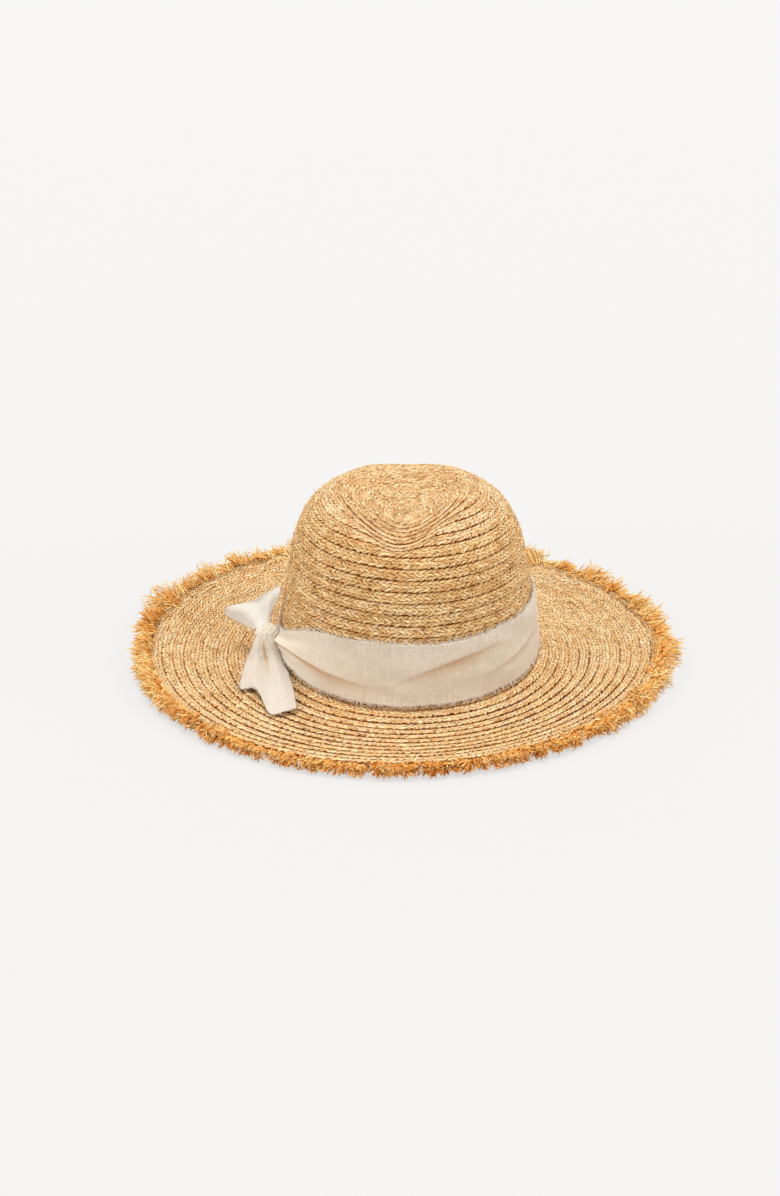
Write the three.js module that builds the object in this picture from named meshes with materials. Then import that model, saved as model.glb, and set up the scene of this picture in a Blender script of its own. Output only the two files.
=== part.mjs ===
// Straw sun hat: plaited straw crown with a pinched teardrop dent, wide brim with a frayed
// raffia edge, a linen scarf tied round the crown, and the sweatband, size cord and label inside.
// Millimetres, +Z up, brim resting on z = 0, front (the pinch) towards -Y, scarf knot at -X.
// Angles run round the hat from +X towards +Y. "Arc" is length up the crown from its root.
import * as THREE from 'three';
import { mergeVertices } from 'three/addons/utils/BufferGeometryUtils.js';

// ---------------------------------------------------------------- shared dimensions
const HEAD_HALF_X = 90;         // outer half width of the crown at its root
const HEAD_HALF_Y = 99;         // outer half length of the crown at its root
const ROOT_Z = 6.3;             // height of the crown root over the table
const CROWN_T = 2.4;            // thickness of the sewn crown braid
const GAP = 0.3;                // clearance between neighbouring pieces
const CORD_R = 0.9;             // size cord radius
const CORD_ARC = 26.5;          // arc of the size cord
const CENTRE = [-2.0, 2.25];    // middle of the outline, taken off so the outline is centred
const ROUND = 48;               // divisions round the hat

const MATERIALS = {
  crown: { color: '#cfa56e', roughness: 0.85 },
  brim: { color: '#d8b07a', roughness: 0.85 },
  raffia: { color: '#d39a52', roughness: 0.8 },
  fringeThread: { color: '#b88447', roughness: 0.7 },
  scarfBand: { color: '#e6d6c2', roughness: 0.9 },
  scarfKnot: { color: '#e9dbc9', roughness: 0.9 },
  scarfTail: { color: '#efe4d4', roughness: 0.9 },
  sweatband: { color: '#e9dfca', roughness: 0.9 },
  sweatbandThread: { color: '#d8ccb4', roughness: 0.7 },
  cord: { color: '#efe7d6', roughness: 0.8 },
  label: { color: '#f4f0e6', roughness: 0.8 },
};

// ---------------------------------------------------------------- small helpers
const TAU = Math.PI * 2;
const radians = THREE.MathUtils.degToRad;
const turn = (i, count = ROUND) => TAU * i / count;
const scale = (a, k) => a.map((v) => v * k);
const add = (a, b, k = 1) => a.map((v, d) => v + b[d] * k);
const sub = (a, b) => add(a, b, -1);
const mix = (a, b, t) => a.map((v, d) => v + (b[d] - v) * t);
const unit = (a) => scale(a, 1 / Math.hypot(...a));
const cross = (a, b) => [
  a[1] * b[2] - a[2] * b[1],
  a[2] * b[0] - a[0] * b[2],
  a[0] * b[1] - a[1] * b[0]];

// straight-line lookup, held at the end values
function interp(x, xs, ys) {
  if (x <= xs[0]) return ys[0];
  const i = xs.findIndex((station) => x <= station);
  if (i < 0) return ys[ys.length - 1];
  return ys[i - 1] + (ys[i] - ys[i - 1]) * (x - xs[i - 1]) / (xs[i] - xs[i - 1]);
}

// minimum and maximum, rounded off where the two values are within `soft` of each other
function softMin(a, b, soft) {
  const share = Math.min(1, Math.max(0, 0.5 + 0.5 * (b - a) / soft));
  return b * (1 - share) + a * share - soft * share * (1 - share);
}
const softMax = (a, b, soft) => softMin(a, b, -soft);

// eight values, every 45 deg from +X -> smooth three-wave curve round the hat
function waves(values) {
  const project = (wave) => 2 / 8 * values.reduce((sum, v, i) => sum + v * wave(turn(i, 8)), 0);
  const mean = values.reduce((a, b) => a + b) / 8;
  const terms = [1, 2, 3].map((k) => ({
    k,
    cosine: project((angle) => Math.cos(k * angle)),
    sine: project((angle) => Math.sin(k * angle)),
  }));
  return (angle) => terms.reduce((sum, { k, cosine, sine }) => (
    sum + cosine * Math.cos(k * angle) + sine * Math.sin(k * angle)), mean);
}

// ---------------------------------------------------------------- closed bodies
const MERGE_TOLERANCE = 1e-5;

// centres and welds the body, drops collapsed triangles and turns the faces outwards
function finish(name, material, verts, tris) {
  const raw = new THREE.BufferGeometry();
  const coords = verts.flatMap(([x, y, z]) => [x - CENTRE[0], y - CENTRE[1], z]);
  raw.setAttribute('position', new THREE.Float32BufferAttribute(coords, 3));
  raw.setIndex(tris.flat());
  const geometry = mergeVertices(raw, MERGE_TOLERANCE);

  const { position } = geometry.attributes;
  const index = geometry.index.array;
  const at = (i) => [position.getX(i), position.getY(i), position.getZ(i)];
  const kept = [];
  let volume = 0;               // six times the signed volume
  for (let i = 0; i < index.length; i += 3) {
    const [a, b, c] = index.slice(i, i + 3);
    if (a === b || b === c || a === c) continue;
    kept.push([a, b, c]);
    const area = cross(at(b), at(c));
    volume += at(a).reduce((sum, v, d) => sum + v * area[d], 0);
  }
  const facing = volume < 0 ? kept.map(([a, b, c]) => [a, c, b]) : kept;
  geometry.setIndex(facing.flat());
  geometry.computeVertexNormals();

  const look = new THREE.MeshStandardMaterial({ ...MATERIALS[material], metalness: 0 });
  const mesh = new THREE.Mesh(geometry, look);
  mesh.name = name;
  return mesh;
}

// two skins over one grid, joined along every free edge; outer and inner map (i, j) to a point
function shell(name, material, { nu, nv, outer, inner, closed = true }) {
  const verts = [];
  const tris = [];
  const columns = closed ? nu : nu + 1;
  for (const skin of [outer, inner]) {
    for (let i = 0; i < columns; i++) {
      for (let j = 0; j <= nv; j++) verts.push(skin(i, j));
    }
  }
  const outerId = (i, j) => (i % columns) * (nv + 1) + j;
  const innerId = (i, j) => outerId(i, j) + columns * (nv + 1);
  const quad = (a, b, c, d) => tris.push([a, b, c], [a, c, d]);
  for (let i = 0; i < nu; i++) {
    const next = i + 1;
    for (let j = 0; j < nv; j++) {
      quad(outerId(i, j), outerId(next, j), outerId(next, j + 1), outerId(i, j + 1));
      quad(innerId(i, j + 1), innerId(next, j + 1), innerId(next, j), innerId(i, j));
    }
    quad(innerId(i, 0), innerId(next, 0), outerId(next, 0), outerId(i, 0));
    quad(outerId(i, nv), outerId(next, nv), innerId(next, nv), innerId(i, nv));
  }
  if (!closed) {
    for (let j = 0; j < nv; j++) {
      quad(outerId(0, j), outerId(0, j + 1), innerId(0, j + 1), innerId(0, j));
      quad(outerId(nu, j + 1), outerId(nu, j), innerId(nu, j), innerId(nu, j + 1));
    }
  }
  return finish(name, material, verts, tris);
}

// ring or rod of polygon section; frame(i) gives its centre and the two half axes of the section
function rod(name, material, { steps = ROUND, sides, frame, closed = true }) {
  const verts = [];
  const tris = [];
  const rows = closed ? steps : steps + 1;
  for (let i = 0; i < rows; i++) {
    const { centre, axisA, axisB } = frame(i);
    for (let k = 0; k < sides; k++) {
      const angle = turn(k + 0.5, sides);
      verts.push(add(add(centre, axisA, Math.cos(angle)), axisB, Math.sin(angle)));
    }
  }
  const id = (i, k) => (i % rows) * sides + (k % sides);
  for (let i = 0; i < steps; i++) {
    for (let k = 0; k < sides; k++) {
      tris.push([id(i, k), id(i, k + 1), id(i + 1, k + 1)]);
      tris.push([id(i, k), id(i + 1, k + 1), id(i + 1, k)]);
    }
  }
  if (!closed) {
    for (let k = 1; k < sides - 1; k++) {
      tris.push([id(0, 0), id(0, k + 1), id(0, k)]);
      tris.push([id(steps, 0), id(steps, k), id(steps, k + 1)]);
    }
  }
  return finish(name, material, verts, tris);
}

// ellipsoid, its surface swelled and pinched by the fraction `lump`
function blob(name, material, { centre, radii, lump = 0 }) {
  const sphere = new THREE.SphereGeometry(1, 14, 9);
  sphere.deleteAttribute('normal');
  sphere.deleteAttribute('uv');
  const welded = mergeVertices(sphere, MERGE_TOLERANCE);
  const { position } = welded.attributes;
  const verts = [];
  for (let i = 0; i < position.count; i++) {
    const point = [position.getX(i), position.getY(i), position.getZ(i)];
    const swell = 1 + lump * Math.sin(5 * point[1] + 2) * Math.cos(4 * point[2]);
    verts.push(point.map((v, d) => centre[d] + v * radii[d] * swell));
  }
  return finish(name, material, verts, Array.from(welded.index.array));
}

// ---------------------------------------------------------------- crown surface
// undented crown: [fraction of the root ellipse, height over the root]
const PROFILE = [
  [1.000, 0], [0.986, 14], [0.962, 34], [0.935, 54], [0.900, 72], [0.852, 88],
  [0.775, 101.5], [0.67, 111], [0.53, 118], [0.36, 121.5], [0.18, 123.0], [0.0, 123.5]];
const PROFILE_STEPS = 24;       // curve points per profile interval
const MEAN_RADIUS = 94;         // turns profile fractions into mm for the arc length

// floor of the dent: stations along Y and height over the root
const DENT_Y = [-110, -80, -50, -20, 10, 35, 60, 80, 100];
const DENT_Z = [99, 99, 98.5, 98.5, 99.5, 102, 107.5, 113, 119];
// half width of the dent: stations along Y and the X at which it has risen by DENT_RISE
const DENT_WIDTH_Y = [-110, -70, -40, 0, 40, 80];
const DENT_HALF_WIDTH = [33, 35, 38, 40, 39, 36];
const DENT_RISE = 17;
const DENT_POWER = 1.9;         // how sharply the sides of the dent steepen
const DENT_SOFT = 7;            // rounding of the dent's rim

// uniform Catmull-Rom curve between b and c
const catmullRom = (a, b, c, d, t) => 0.5 * (2 * b + (c - a) * t
  + (2 * a - 5 * b + 4 * c - d) * t ** 2 + (3 * b - a - 3 * c + d) * t ** 3);

function smoothProfile() {
  const first = PROFILE[0];
  const last = PROFILE.at(-1);
  const [beforeFraction, beforeHeight] = PROFILE.at(-2);
  const before = sub(scale(first, 2), PROFILE[1]);
  const padded = [before, ...PROFILE, [-beforeFraction, beforeHeight]];
  const points = [];
  for (let i = 1; i < PROFILE.length; i++) {
    const [a, b, c, d] = padded.slice(i - 1, i + 3);
    for (let k = 0; k < PROFILE_STEPS; k++) {
      points.push([0, 1].map((n) => catmullRom(a[n], b[n], c[n], d[n], k / PROFILE_STEPS)));
    }
  }
  return [...points, last];
}
const curve = smoothProfile();
const curveFraction = curve.map(([fraction]) => fraction);
const curveHeight = curve.map(([, height]) => height);
const curveArc = [0];
for (let i = 1; i < curve.length; i++) {
  const [fraction, height] = sub(curve[i], curve[i - 1]);
  curveArc.push(curveArc[i - 1] + Math.hypot(fraction * MEAN_RADIUS, height));
}
const ARC_END = curveArc.at(-1);

// outer face of the crown
function crownPoint(angle, arc) {
  const fraction = interp(arc, curveArc, curveFraction);
  const x = HEAD_HALF_X * fraction * Math.cos(angle);
  const y = HEAD_HALF_Y * fraction * Math.sin(angle);
  const halfWidth = interp(y, DENT_WIDTH_Y, DENT_HALF_WIDTH);
  const dent = interp(y, DENT_Y, DENT_Z) + DENT_RISE * (Math.abs(x) / halfWidth) ** DENT_POWER;
  return [x, y, ROOT_Z + softMin(interp(arc, curveArc, curveHeight), dent, DENT_SOFT)];
}

// outward normal by differences, taken a little short of the middle where the rings close up
const NORMAL_ANGLE = 0.01;
const NORMAL_ARC = 0.8;
const NORMAL_END_MARGIN = 2.5;
function crownNormal(angle, arc) {
  const near = Math.min(arc, ARC_END - NORMAL_END_MARGIN);
  const around = sub(
    crownPoint(angle + NORMAL_ANGLE, near), crownPoint(angle - NORMAL_ANGLE, near));
  const up = sub(
    crownPoint(angle, near + NORMAL_ARC), crownPoint(angle, Math.max(0, near - NORMAL_ARC)));
  return unit(cross(around, up));
}

// point at a distance off the outer face of the crown (negative = inside)
const offCrown = (angle, arc, distance) => (
  add(crownPoint(angle, arc), crownNormal(angle, arc), distance));

// one coil of braid from the root to the middle of the dent
const CROWN_ARCS = [
  0.6, 12, 24, 36, 48, 60, 71, 81, 90, 98, 106, 114, 122, 131, 141, 152, 164, 175, ARC_END];
function makeCrown() {
  const nv = CROWN_ARCS.length - 1;
  return shell('crown', 'crown', {
    nu: ROUND,
    nv,
    outer: (i, j) => crownPoint(turn(i), CROWN_ARCS[j]),
    inner: (i, j) => (j === nv
      ? add(crownPoint(0, ARC_END), [0, 0, -CROWN_T])
      : offCrown(turn(i), CROWN_ARCS[j], -CROWN_T)),
  });
}

// ---------------------------------------------------------------- brim
const BRIM_T = 2.2;             // thickness of the sewn brim braid
const BRIM_DIP = 6.5;           // how far the brim falls just outside the crown root
const BRIM_DIP_LENGTH = 13;     // decay length of that fall
const BRIM_RECOVER_POWER = 1.8; // how late the fall is made up again
const BRIM_RISE_POWER = 2.6;    // how late the edge rise comes in
// every 45 deg from +X: width, and height of the straw edge over the root
const brimWidth = waves([84.0, 81.0, 80.0, 83.0, 87.5, 83.5, 76.5, 77.0]);
const brimRise = waves([1.5, 0.0, 0.5, 5.0, 5.5, 4.5, 6.5, 7.5]);
// distances outside the root; the last is cut back to the straw edge
const BRIM_ROWS = [-2.2, 0, 4, 9, 16, 25, 36, 50, 66, Infinity];

// upper face of the brim at a distance outside the crown root
function brimTop(angle, distance) {
  const x = Math.cos(angle);
  const y = Math.sin(angle);
  const outward = unit([x / HEAD_HALF_X, y / HEAD_HALF_Y, 0]);
  let z = ROOT_Z;
  if (distance > 0) {
    const part = Math.min(1, distance / brimWidth(angle));
    z += BRIM_DIP * (Math.exp(-distance / BRIM_DIP_LENGTH) - 1 + part ** BRIM_RECOVER_POWER)
      + brimRise(angle) * part ** BRIM_RISE_POWER;
  }
  return add([HEAD_HALF_X * x, HEAD_HALF_Y * y, z], outward, distance);
}

// the braid carried on outwards, its underside flat where it rests
function makeBrim() {
  const top = (i, j) => brimTop(turn(i), Math.min(BRIM_ROWS[j], brimWidth(turn(i))));
  return shell('brim', 'brim', {
    nu: ROUND,
    nv: BRIM_ROWS.length - 1,
    outer: top,
    inner: (i, j) => {
      const [x, y, z] = top(i, j);
      return [x, y, Math.max(0, z - BRIM_T)];
    },
  });
}

// ---------------------------------------------------------------- raffia fringe
const fringeLength = waves([20.0, 18.5, 16.5, 18.5, 20.5, 18.0, 15.5, 17.0]);
const FRINGE_ROUND = 2 * ROUND;
const FRINGE_REFERENCE = 18;    // length for which the rows are given
// [distance outside the straw edge, upper face above the fringe line, lower face below it]
const FRINGE_ROWS = [
  [GAP, 0.4, 2.4], [5, 0.7, 3.6], [11, 0.2, 3.3], [FRINGE_REFERENCE, -0.4, 2.0]];
const FRINGE_TIP_ROW = FRINGE_ROWS.length - 1;
const FRINGE_TOOTH = 0.6;       // tips are alternately longer and shorter by this
const FRINGE_DROOP = 0.34;      // fall per mm of length, sides and back
const FRINGE_DROOP_FRONT = 0.22;// extra fall at the front
const FRINGE_REST_Z = 2.4;      // height at which the tips settle on the table
const FRINGE_REST_SOFT = 2;
const FRINGE_MIN_Z = 0.3;       // lowest height of the underside

function fringeLine(angle, distance) {
  const [x, y, z] = brimTop(angle, brimWidth(angle) + distance);
  const droop = FRINGE_DROOP + FRINGE_DROOP_FRONT * Math.max(0, -Math.sin(angle));
  const fall = distance * droop * (0.6 + 0.4 * distance / FRINGE_REFERENCE);
  return [x, y, softMax(z - fall, FRINGE_REST_Z, FRINGE_REST_SOFT)];
}

function fringePoint(i, j) {
  const at = (column, distance) => fringeLine(turn(column, FRINGE_ROUND), distance);
  if (j === 0) {
    // the straw edge is a straight chord between two brim corners, so the fringe starts from it
    return i % 2 === 0 ? at(i, GAP) : mix(at(i - 1, GAP), at(i + 1, GAP), 0.5);
  }
  const length = fringeLength(turn(i, FRINGE_ROUND));
  // no tooth at the four quarter points
  const hasTooth = j === FRINGE_TIP_ROW && i % (FRINGE_ROUND / 4) !== 0;
  const tooth = hasTooth ? FRINGE_TOOTH * (-1) ** i : 0;
  return at(i, FRINGE_ROWS[j][0] * length / FRINGE_REFERENCE + tooth);
}

function makeFringe() {
  return shell('brim_fringe', 'raffia', {
    nu: FRINGE_ROUND,
    nv: FRINGE_TIP_ROW,
    outer: (i, j) => add(fringePoint(i, j), [0, 0, FRINGE_ROWS[j][1]]),
    inner: (i, j) => {
      const [x, y, z] = fringePoint(i, j);
      return [x, y, Math.max(FRINGE_MIN_Z, z - FRINGE_ROWS[j][2])];
    },
  });
}

// line of thread that holds the fringe on
const THREAD_INSET = 4;         // distance inside the straw edge
const THREAD_HALF_W = 0.4;
const THREAD_HALF_H = 0.35;
function makeFringeStitching() {
  return rod('fringe_stitching', 'fringeThread', {
    sides: 4,
    frame: (i) => {
      const distance = brimWidth(turn(i)) - THREAD_INSET;
      const seat = brimTop(turn(i), distance);
      const outward = unit(sub(brimTop(turn(i), distance + 1), seat));
      return {
        centre: add(seat, [0, 0, GAP + THREAD_HALF_H]),
        axisA: scale(outward, THREAD_HALF_W),
        axisB: [0, 0, THREAD_HALF_H],
      };
    },
  });
}

// ---------------------------------------------------------------- linen scarf
const BAND_LO = 4.8;            // arcs of the band's bottom and top edges
const BAND_HI = 46.0;
const BAND_T = 2.2;             // folded scarf thickness
const BAND_EDGE = 0.8;          // share of that thickness at the two edges
const BAND_CLEARANCE = 0.5;     // gap between band and crown
const BAND_ROWS = 3;
const GATHER_ANGLE = radians(193);
// at the knot the edges draw in and the band stands out
const GATHER = { lift: 4.5, drop: 13, edgeSpread: radians(17), bulge: 2.3, bulgeSpread: radians(11) };

// bell curve round the hat, 1 at the knot
function gather(angle, spread) {
  const away = ((angle - GATHER_ANGLE) % TAU + TAU + Math.PI) % TAU - Math.PI;
  return Math.exp(-((away / spread) ** 2));
}

function makeBand() {
  const point = (i, j, distance) => {
    const drawn = gather(turn(i), GATHER.edgeSpread);
    const low = BAND_LO + GATHER.lift * drawn;
    const high = BAND_HI - GATHER.drop * drawn;
    return offCrown(turn(i), low + (high - low) * j / BAND_ROWS, distance);
  };
  const thickness = (i, j) => BAND_T * (j === 0 || j === BAND_ROWS ? BAND_EDGE : 1)
    + GATHER.bulge * gather(turn(i), GATHER.bulgeSpread);
  return shell('hat_band', 'scarfBand', {
    nu: ROUND,
    nv: BAND_ROWS,
    outer: (i, j) => point(i, j, BAND_CLEARANCE + thickness(i, j)),
    inner: (i, j) => point(i, j, BAND_CLEARANCE),
  });
}

const KNOT = { centre: [-98.5, -24.0, 24.0], radii: [6.6, 6.2, 8.4], lump: 0.04 };

// scarf tails: two edges, each from the knot to the tip, and the bow of the sheet between them
const TAIL_T = 1.1;
const UPPER_TAIL = {
  edges: [
    [[-101.5, -21, 33.6], [-106, -13, 31], [-117, -1, 28.5], [-128, 10, 28.0]],
    [[-96.0, -24.5, 34.4], [-91.5, -28, 42.0], [-88.5, -29, 52], [-86.5, -27, 62.0]]],
  bowDirection: unit([-0.61, -0.61, 0.51]),
  bow: 2.0,
  nv: 6,
};
const LOWER_TAIL = {
  edges: [
    [[-94.8, -27.6, 14.2], [-90.0, -41.5, 12.6], [-83.6, -62, 9.6], [-74.6, -90, 5.8]],
    [[-102.3, -27.0, 14.0], [-108.2, -39, 9.4], [-111.2, -54, 6.3], [-112.8, -67, 6.0]]],
  bowDirection: [0, 0, 1],
  bow: 1.6,
  nv: 7,
};
function makeTail(name, { edges, bowDirection, bow, nv }) {
  const nu = 6;
  const [first, second] = edges.map((points) => new THREE.CatmullRomCurve3(
    points.map((p) => new THREE.Vector3(...p)), false, 'centripetal'));
  const middle = (i, j) => {
    const u = i / nu;
    const v = j / nv;
    const flat = mix(first.getPoint(v).toArray(), second.getPoint(v).toArray(), u);
    const rise = Math.sin(Math.PI * u) * Math.sin(Math.PI * Math.min(1, v + 0.15));
    return add(flat, bowDirection, bow * rise);
  };
  const skin = (distance) => (i, j) => {
    const across = sub(middle(Math.min(i + 1, nu), j), middle(Math.max(i - 1, 0), j));
    const along = sub(middle(i, Math.min(j + 1, nv)), middle(i, Math.max(j - 1, 0)));
    return add(middle(i, j), unit(cross(across, along)), distance);
  };
  return shell(name, 'scarfTail', {
    nu, nv, outer: skin(TAIL_T / 2), inner: skin(-TAIL_T / 2), closed: false,
  });
}

// ---------------------------------------------------------------- inside the crown
const SWEAT_LO = 1.6;           // arcs of the sweatband's bottom and top edges
const SWEAT_HI = 30.0;
const SWEAT_T = 0.9;
const SWEAT_ROWS = 2;
const SWEAT_OUTER = -(CROWN_T + GAP);           // distances off the crown's outer face
const SWEAT_INNER = SWEAT_OUTER - SWEAT_T;
const LINING = SWEAT_INNER - GAP;               // where pieces on the sweatband begin

function makeSweatband() {
  const skin = (distance) => (i, j) => (
    offCrown(turn(i), SWEAT_LO + (SWEAT_HI - SWEAT_LO) * j / SWEAT_ROWS, distance));
  return shell('sweatband', 'sweatband', {
    nu: ROUND, nv: SWEAT_ROWS, outer: skin(SWEAT_OUTER), inner: skin(SWEAT_INNER),
  });
}

// ring lying against the inner face of the sweatband
function innerRing(name, material, { arc, radius, sides }) {
  const frame = (i) => ({
    centre: offCrown(turn(i), arc, LINING - radius),
    axisA: scale(crownNormal(turn(i), arc), radius),
    axisB: [0, 0, radius],
  });
  return rod(name, material, { sides, frame });
}

// cord knot and its two ends at the back
const cordInnerY = crownPoint(Math.PI / 2, CORD_ARC)[1] + LINING - 2 * CORD_R;
const CORD_KNOT = {
  centre: [0, cordInnerY - GAP - 2.5, ROOT_Z + 26.2],
  radii: [3.1, 2.4, 2.3],
};
function makeCordEnd(name, side) {
  const steps = 6;
  return rod(name, 'cord', {
    steps,
    sides: 6,
    closed: false,
    frame: (i) => {
      const v = i / steps;
      const hang = [side * (1.5 + 3.4 * v + 1.6 * v * v), 0.5 * v, -2.9 - 17.5 * v];
      const radius = CORD_R * (i === 0 || i === steps ? 0.8 : 1);
      return {
        centre: add(CORD_KNOT.centre, hang),
        axisA: [radius, 0, 0.2 * radius * side],
        axisB: [0, radius, 0],
      };
    },
  });
}

// blank cloth label hanging from its top edge on the sweatband
const LABEL = {
  width: 19, height: 17, thickness: 0.6,
  angle: radians(118), topArc: 23, normalArc: 15,
  standOff: 1.3,                // middle of the top edge, inwards from the lining
  lean: 0.07,                   // outward slope of the label going down
  sag: 0.25,                    // inward bow at mid height
};
function makeLabel() {
  const top = offCrown(LABEL.angle, LABEL.topArc, LINING - LABEL.standOff);
  const [x, y] = crownNormal(LABEL.angle, LABEL.normalArc);
  const outward = unit([x, y, 0]);
  const side = [-outward[1], outward[0], 0];
  const down = unit(add([0, 0, -1], outward, LABEL.lean));
  const nu = 4;
  const nv = 3;
  const skin = (distance) => (i, j) => {
    const across = add(top, side, (i / nu - 0.5) * LABEL.width);
    const flat = add(across, down, j / nv * LABEL.height);
    return add(flat, outward, distance - LABEL.sag * Math.sin(Math.PI * j / nv));
  };
  return shell('care_label', 'label', {
    nu, nv, outer: skin(LABEL.thickness / 2), inner: skin(-LABEL.thickness / 2), closed: false,
  });
}

// ---------------------------------------------------------------- the hat
const hat = new THREE.Group();
hat.add(
  makeCrown(),
  makeBrim(),
  makeFringe(),
  makeFringeStitching(),
  makeBand(),
  blob('band_knot', 'scarfKnot', KNOT),
  makeTail('upper_tail', UPPER_TAIL),
  makeTail('lower_tail', LOWER_TAIL),
  makeSweatband(),
  innerRing('sweatband_stitching', 'sweatbandThread', { arc: 4.5, radius: 0.3, sides: 4 }),
  innerRing('drawcord', 'cord', { arc: CORD_ARC, radius: CORD_R, sides: 5 }),
  blob('drawcord_knot', 'cord', CORD_KNOT),
  makeCordEnd('cord_end_left', -1),
  makeCordEnd('cord_end_right', 1),
  makeLabel(),
);

export default hat;
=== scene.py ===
"""A straw sun hat: coiled plait, a raffia fringe, a knotted linen scarf and a lined crown.

The hat lies on its brim near z = 0 with its crown up. The front is -y, the right +x.
Shapes are worked out in millimetres, and make_mesh turns them into metres. The angle theta
is 0 at the right (+x) and a quarter turn at the back (+y).
"""
import math
import bpy
import numpy as np
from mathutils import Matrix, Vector


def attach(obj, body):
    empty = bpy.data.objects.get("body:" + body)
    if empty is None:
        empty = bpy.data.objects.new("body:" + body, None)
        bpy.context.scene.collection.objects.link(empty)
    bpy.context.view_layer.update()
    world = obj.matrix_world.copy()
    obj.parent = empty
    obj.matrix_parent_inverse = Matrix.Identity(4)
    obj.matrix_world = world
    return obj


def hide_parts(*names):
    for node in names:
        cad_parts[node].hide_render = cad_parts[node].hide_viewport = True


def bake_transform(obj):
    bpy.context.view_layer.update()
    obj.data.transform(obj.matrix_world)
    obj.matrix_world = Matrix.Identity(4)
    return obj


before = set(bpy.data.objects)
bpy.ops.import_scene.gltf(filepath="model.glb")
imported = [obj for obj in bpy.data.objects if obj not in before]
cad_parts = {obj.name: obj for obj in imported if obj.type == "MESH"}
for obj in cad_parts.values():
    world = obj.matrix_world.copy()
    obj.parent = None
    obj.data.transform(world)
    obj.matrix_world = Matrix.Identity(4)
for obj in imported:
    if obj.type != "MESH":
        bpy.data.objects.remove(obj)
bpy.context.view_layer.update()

MM = 0.001
TAU = 2 * math.pi

# ------------------------------------------------------------------ surfaces of the hat
HALF_WIDTH, HALF_LENGTH = 90.0, 99.0           # oval at the foot of the crown
MEAN_RADIUS = (HALF_WIDTH + HALF_LENGTH) / 2
GIRTH_RADIUS = 94.0                            # turns angles into lengths round the crown
FOOT_Z = 6.3
HAT_CENTRE = np.array([2.0, -2.25, 0.0])

# Crown profile: share of the foot oval, height over the foot
PROFILE = np.array([
    [1.000, 0], [0.986, 14], [0.962, 34], [0.935, 54], [0.900, 72], [0.853, 88],
    [0.782, 101.5], [0.688, 110.4], [0.55, 116.6], [0.37, 119.8], [0.18, 121.2], [0.0, 121.7]])

# The dent along the crown's top: places in y, then the value at each
DENT_FLOOR = ([-110, -80, -50, -20, 10, 35, 60, 80, 100],
              [105, 103, 101, 100, 100.5, 103, 108.0, 113, 119])
DENT_HALF_WIDTH = ([-110, -70, -40, 0, 40, 80], [33, 35, 38, 40, 39, 36])
DENT_MIDDLE_X = ([-110, -60, 0, 40], [-7.0, -6.0, -3.0, 0.0])


def catmull_rom(p0, p1, p2, p3, t):
    return 0.5 * ((2 * p1) + (p2 - p0) * t + (2 * p0 - 5 * p1 + 4 * p2 - p3) * t * t
                  + (3 * p1 - p0 - 3 * p2 + p3) * t ** 3)


def smooth_profile(points, steps):
    """Curve through the points, level where it meets the axis at its last point."""
    mirrored = [-points[-2][0], points[-2][1]]
    p = np.vstack([2 * points[0] - points[1], points, mirrored])
    curve = [catmull_rom(*p[i - 1:i + 3], t) for i in range(1, len(p) - 2)
             for t in np.linspace(0, 1, steps, endpoint=False)]
    return np.array(curve + [p[-2]])


CURVE = smooth_profile(PROFILE, 24)
CURVE_ARC = np.r_[0, np.cumsum(np.hypot(np.diff(CURVE[:, 0]) * GIRTH_RADIUS,
                                        np.diff(CURVE[:, 1])))]
CROWN_CLIMB = CURVE_ARC[-1]                    # length of the profile, foot to top


def unit(v):
    return v / np.maximum(np.linalg.norm(v, axis=-1, keepdims=True), 1e-9)


def smooth_min(a, b, radius):
    h = np.clip(0.5 + 0.5 * (b - a) / radius, 0, 1)
    return b * (1 - h) + a * h - radius * h * (1 - h)


def crown(theta, climb):
    """Points of the crown, climb mm up its profile from the foot."""
    share = np.interp(climb, CURVE_ARC, CURVE[:, 0])
    z = np.interp(climb, CURVE_ARC, CURVE[:, 1])
    x = HALF_WIDTH * share * np.cos(theta)
    y = HALF_LENGTH * share * np.sin(theta)
    across = (x - np.interp(y, *DENT_MIDDLE_X)) / np.interp(y, *DENT_HALF_WIDTH)
    slope = 17 * (np.sqrt(across ** 2 + 0.03) - 0.173) ** 1.25 / 0.80
    z = smooth_min(z, np.interp(y, *DENT_FLOOR) + slope, 4.5)
    return np.stack([x, y, FOOT_Z + z], -1) + HAT_CENTRE


def around(values):
    """A smooth function of theta fitted to eight values, one every eighth of a turn."""
    values = np.array(values, float)
    t = np.arange(8) * TAU / 8
    waves = [(k, 2 / 8 * (values * np.cos(k * t)).sum(), 2 / 8 * (values * np.sin(k * t)).sum())
             for k in (1, 2, 3)]

    def value(theta):
        total = values.mean()
        for k, c, s in waves:
            total = total + c * np.cos(k * theta) + s * np.sin(k * theta)
        return total
    return value


brim_width = around([86.5, 82.0, 80.0, 84.5, 91.5, 87.0, 79.6, 78.2])
brim_rise = around([1.5, 0.0, 0.5, 5.0, 5.2, 3.2, 2.6, 3.8])
fringe_length = around([17.0, 16.0, 14.0, 14.5, 18.5, 16.0, 12.8, 16.0])


def oval(theta):
    """The foot oval and its outward normal: x, y, normal x, normal y."""
    c, s = np.cos(theta), np.sin(theta)
    size = np.hypot(c / HALF_WIDTH, s / HALF_LENGTH)
    return HALF_WIDTH * c, HALF_LENGTH * s, c / HALF_WIDTH / size, s / HALF_LENGTH / size


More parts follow.
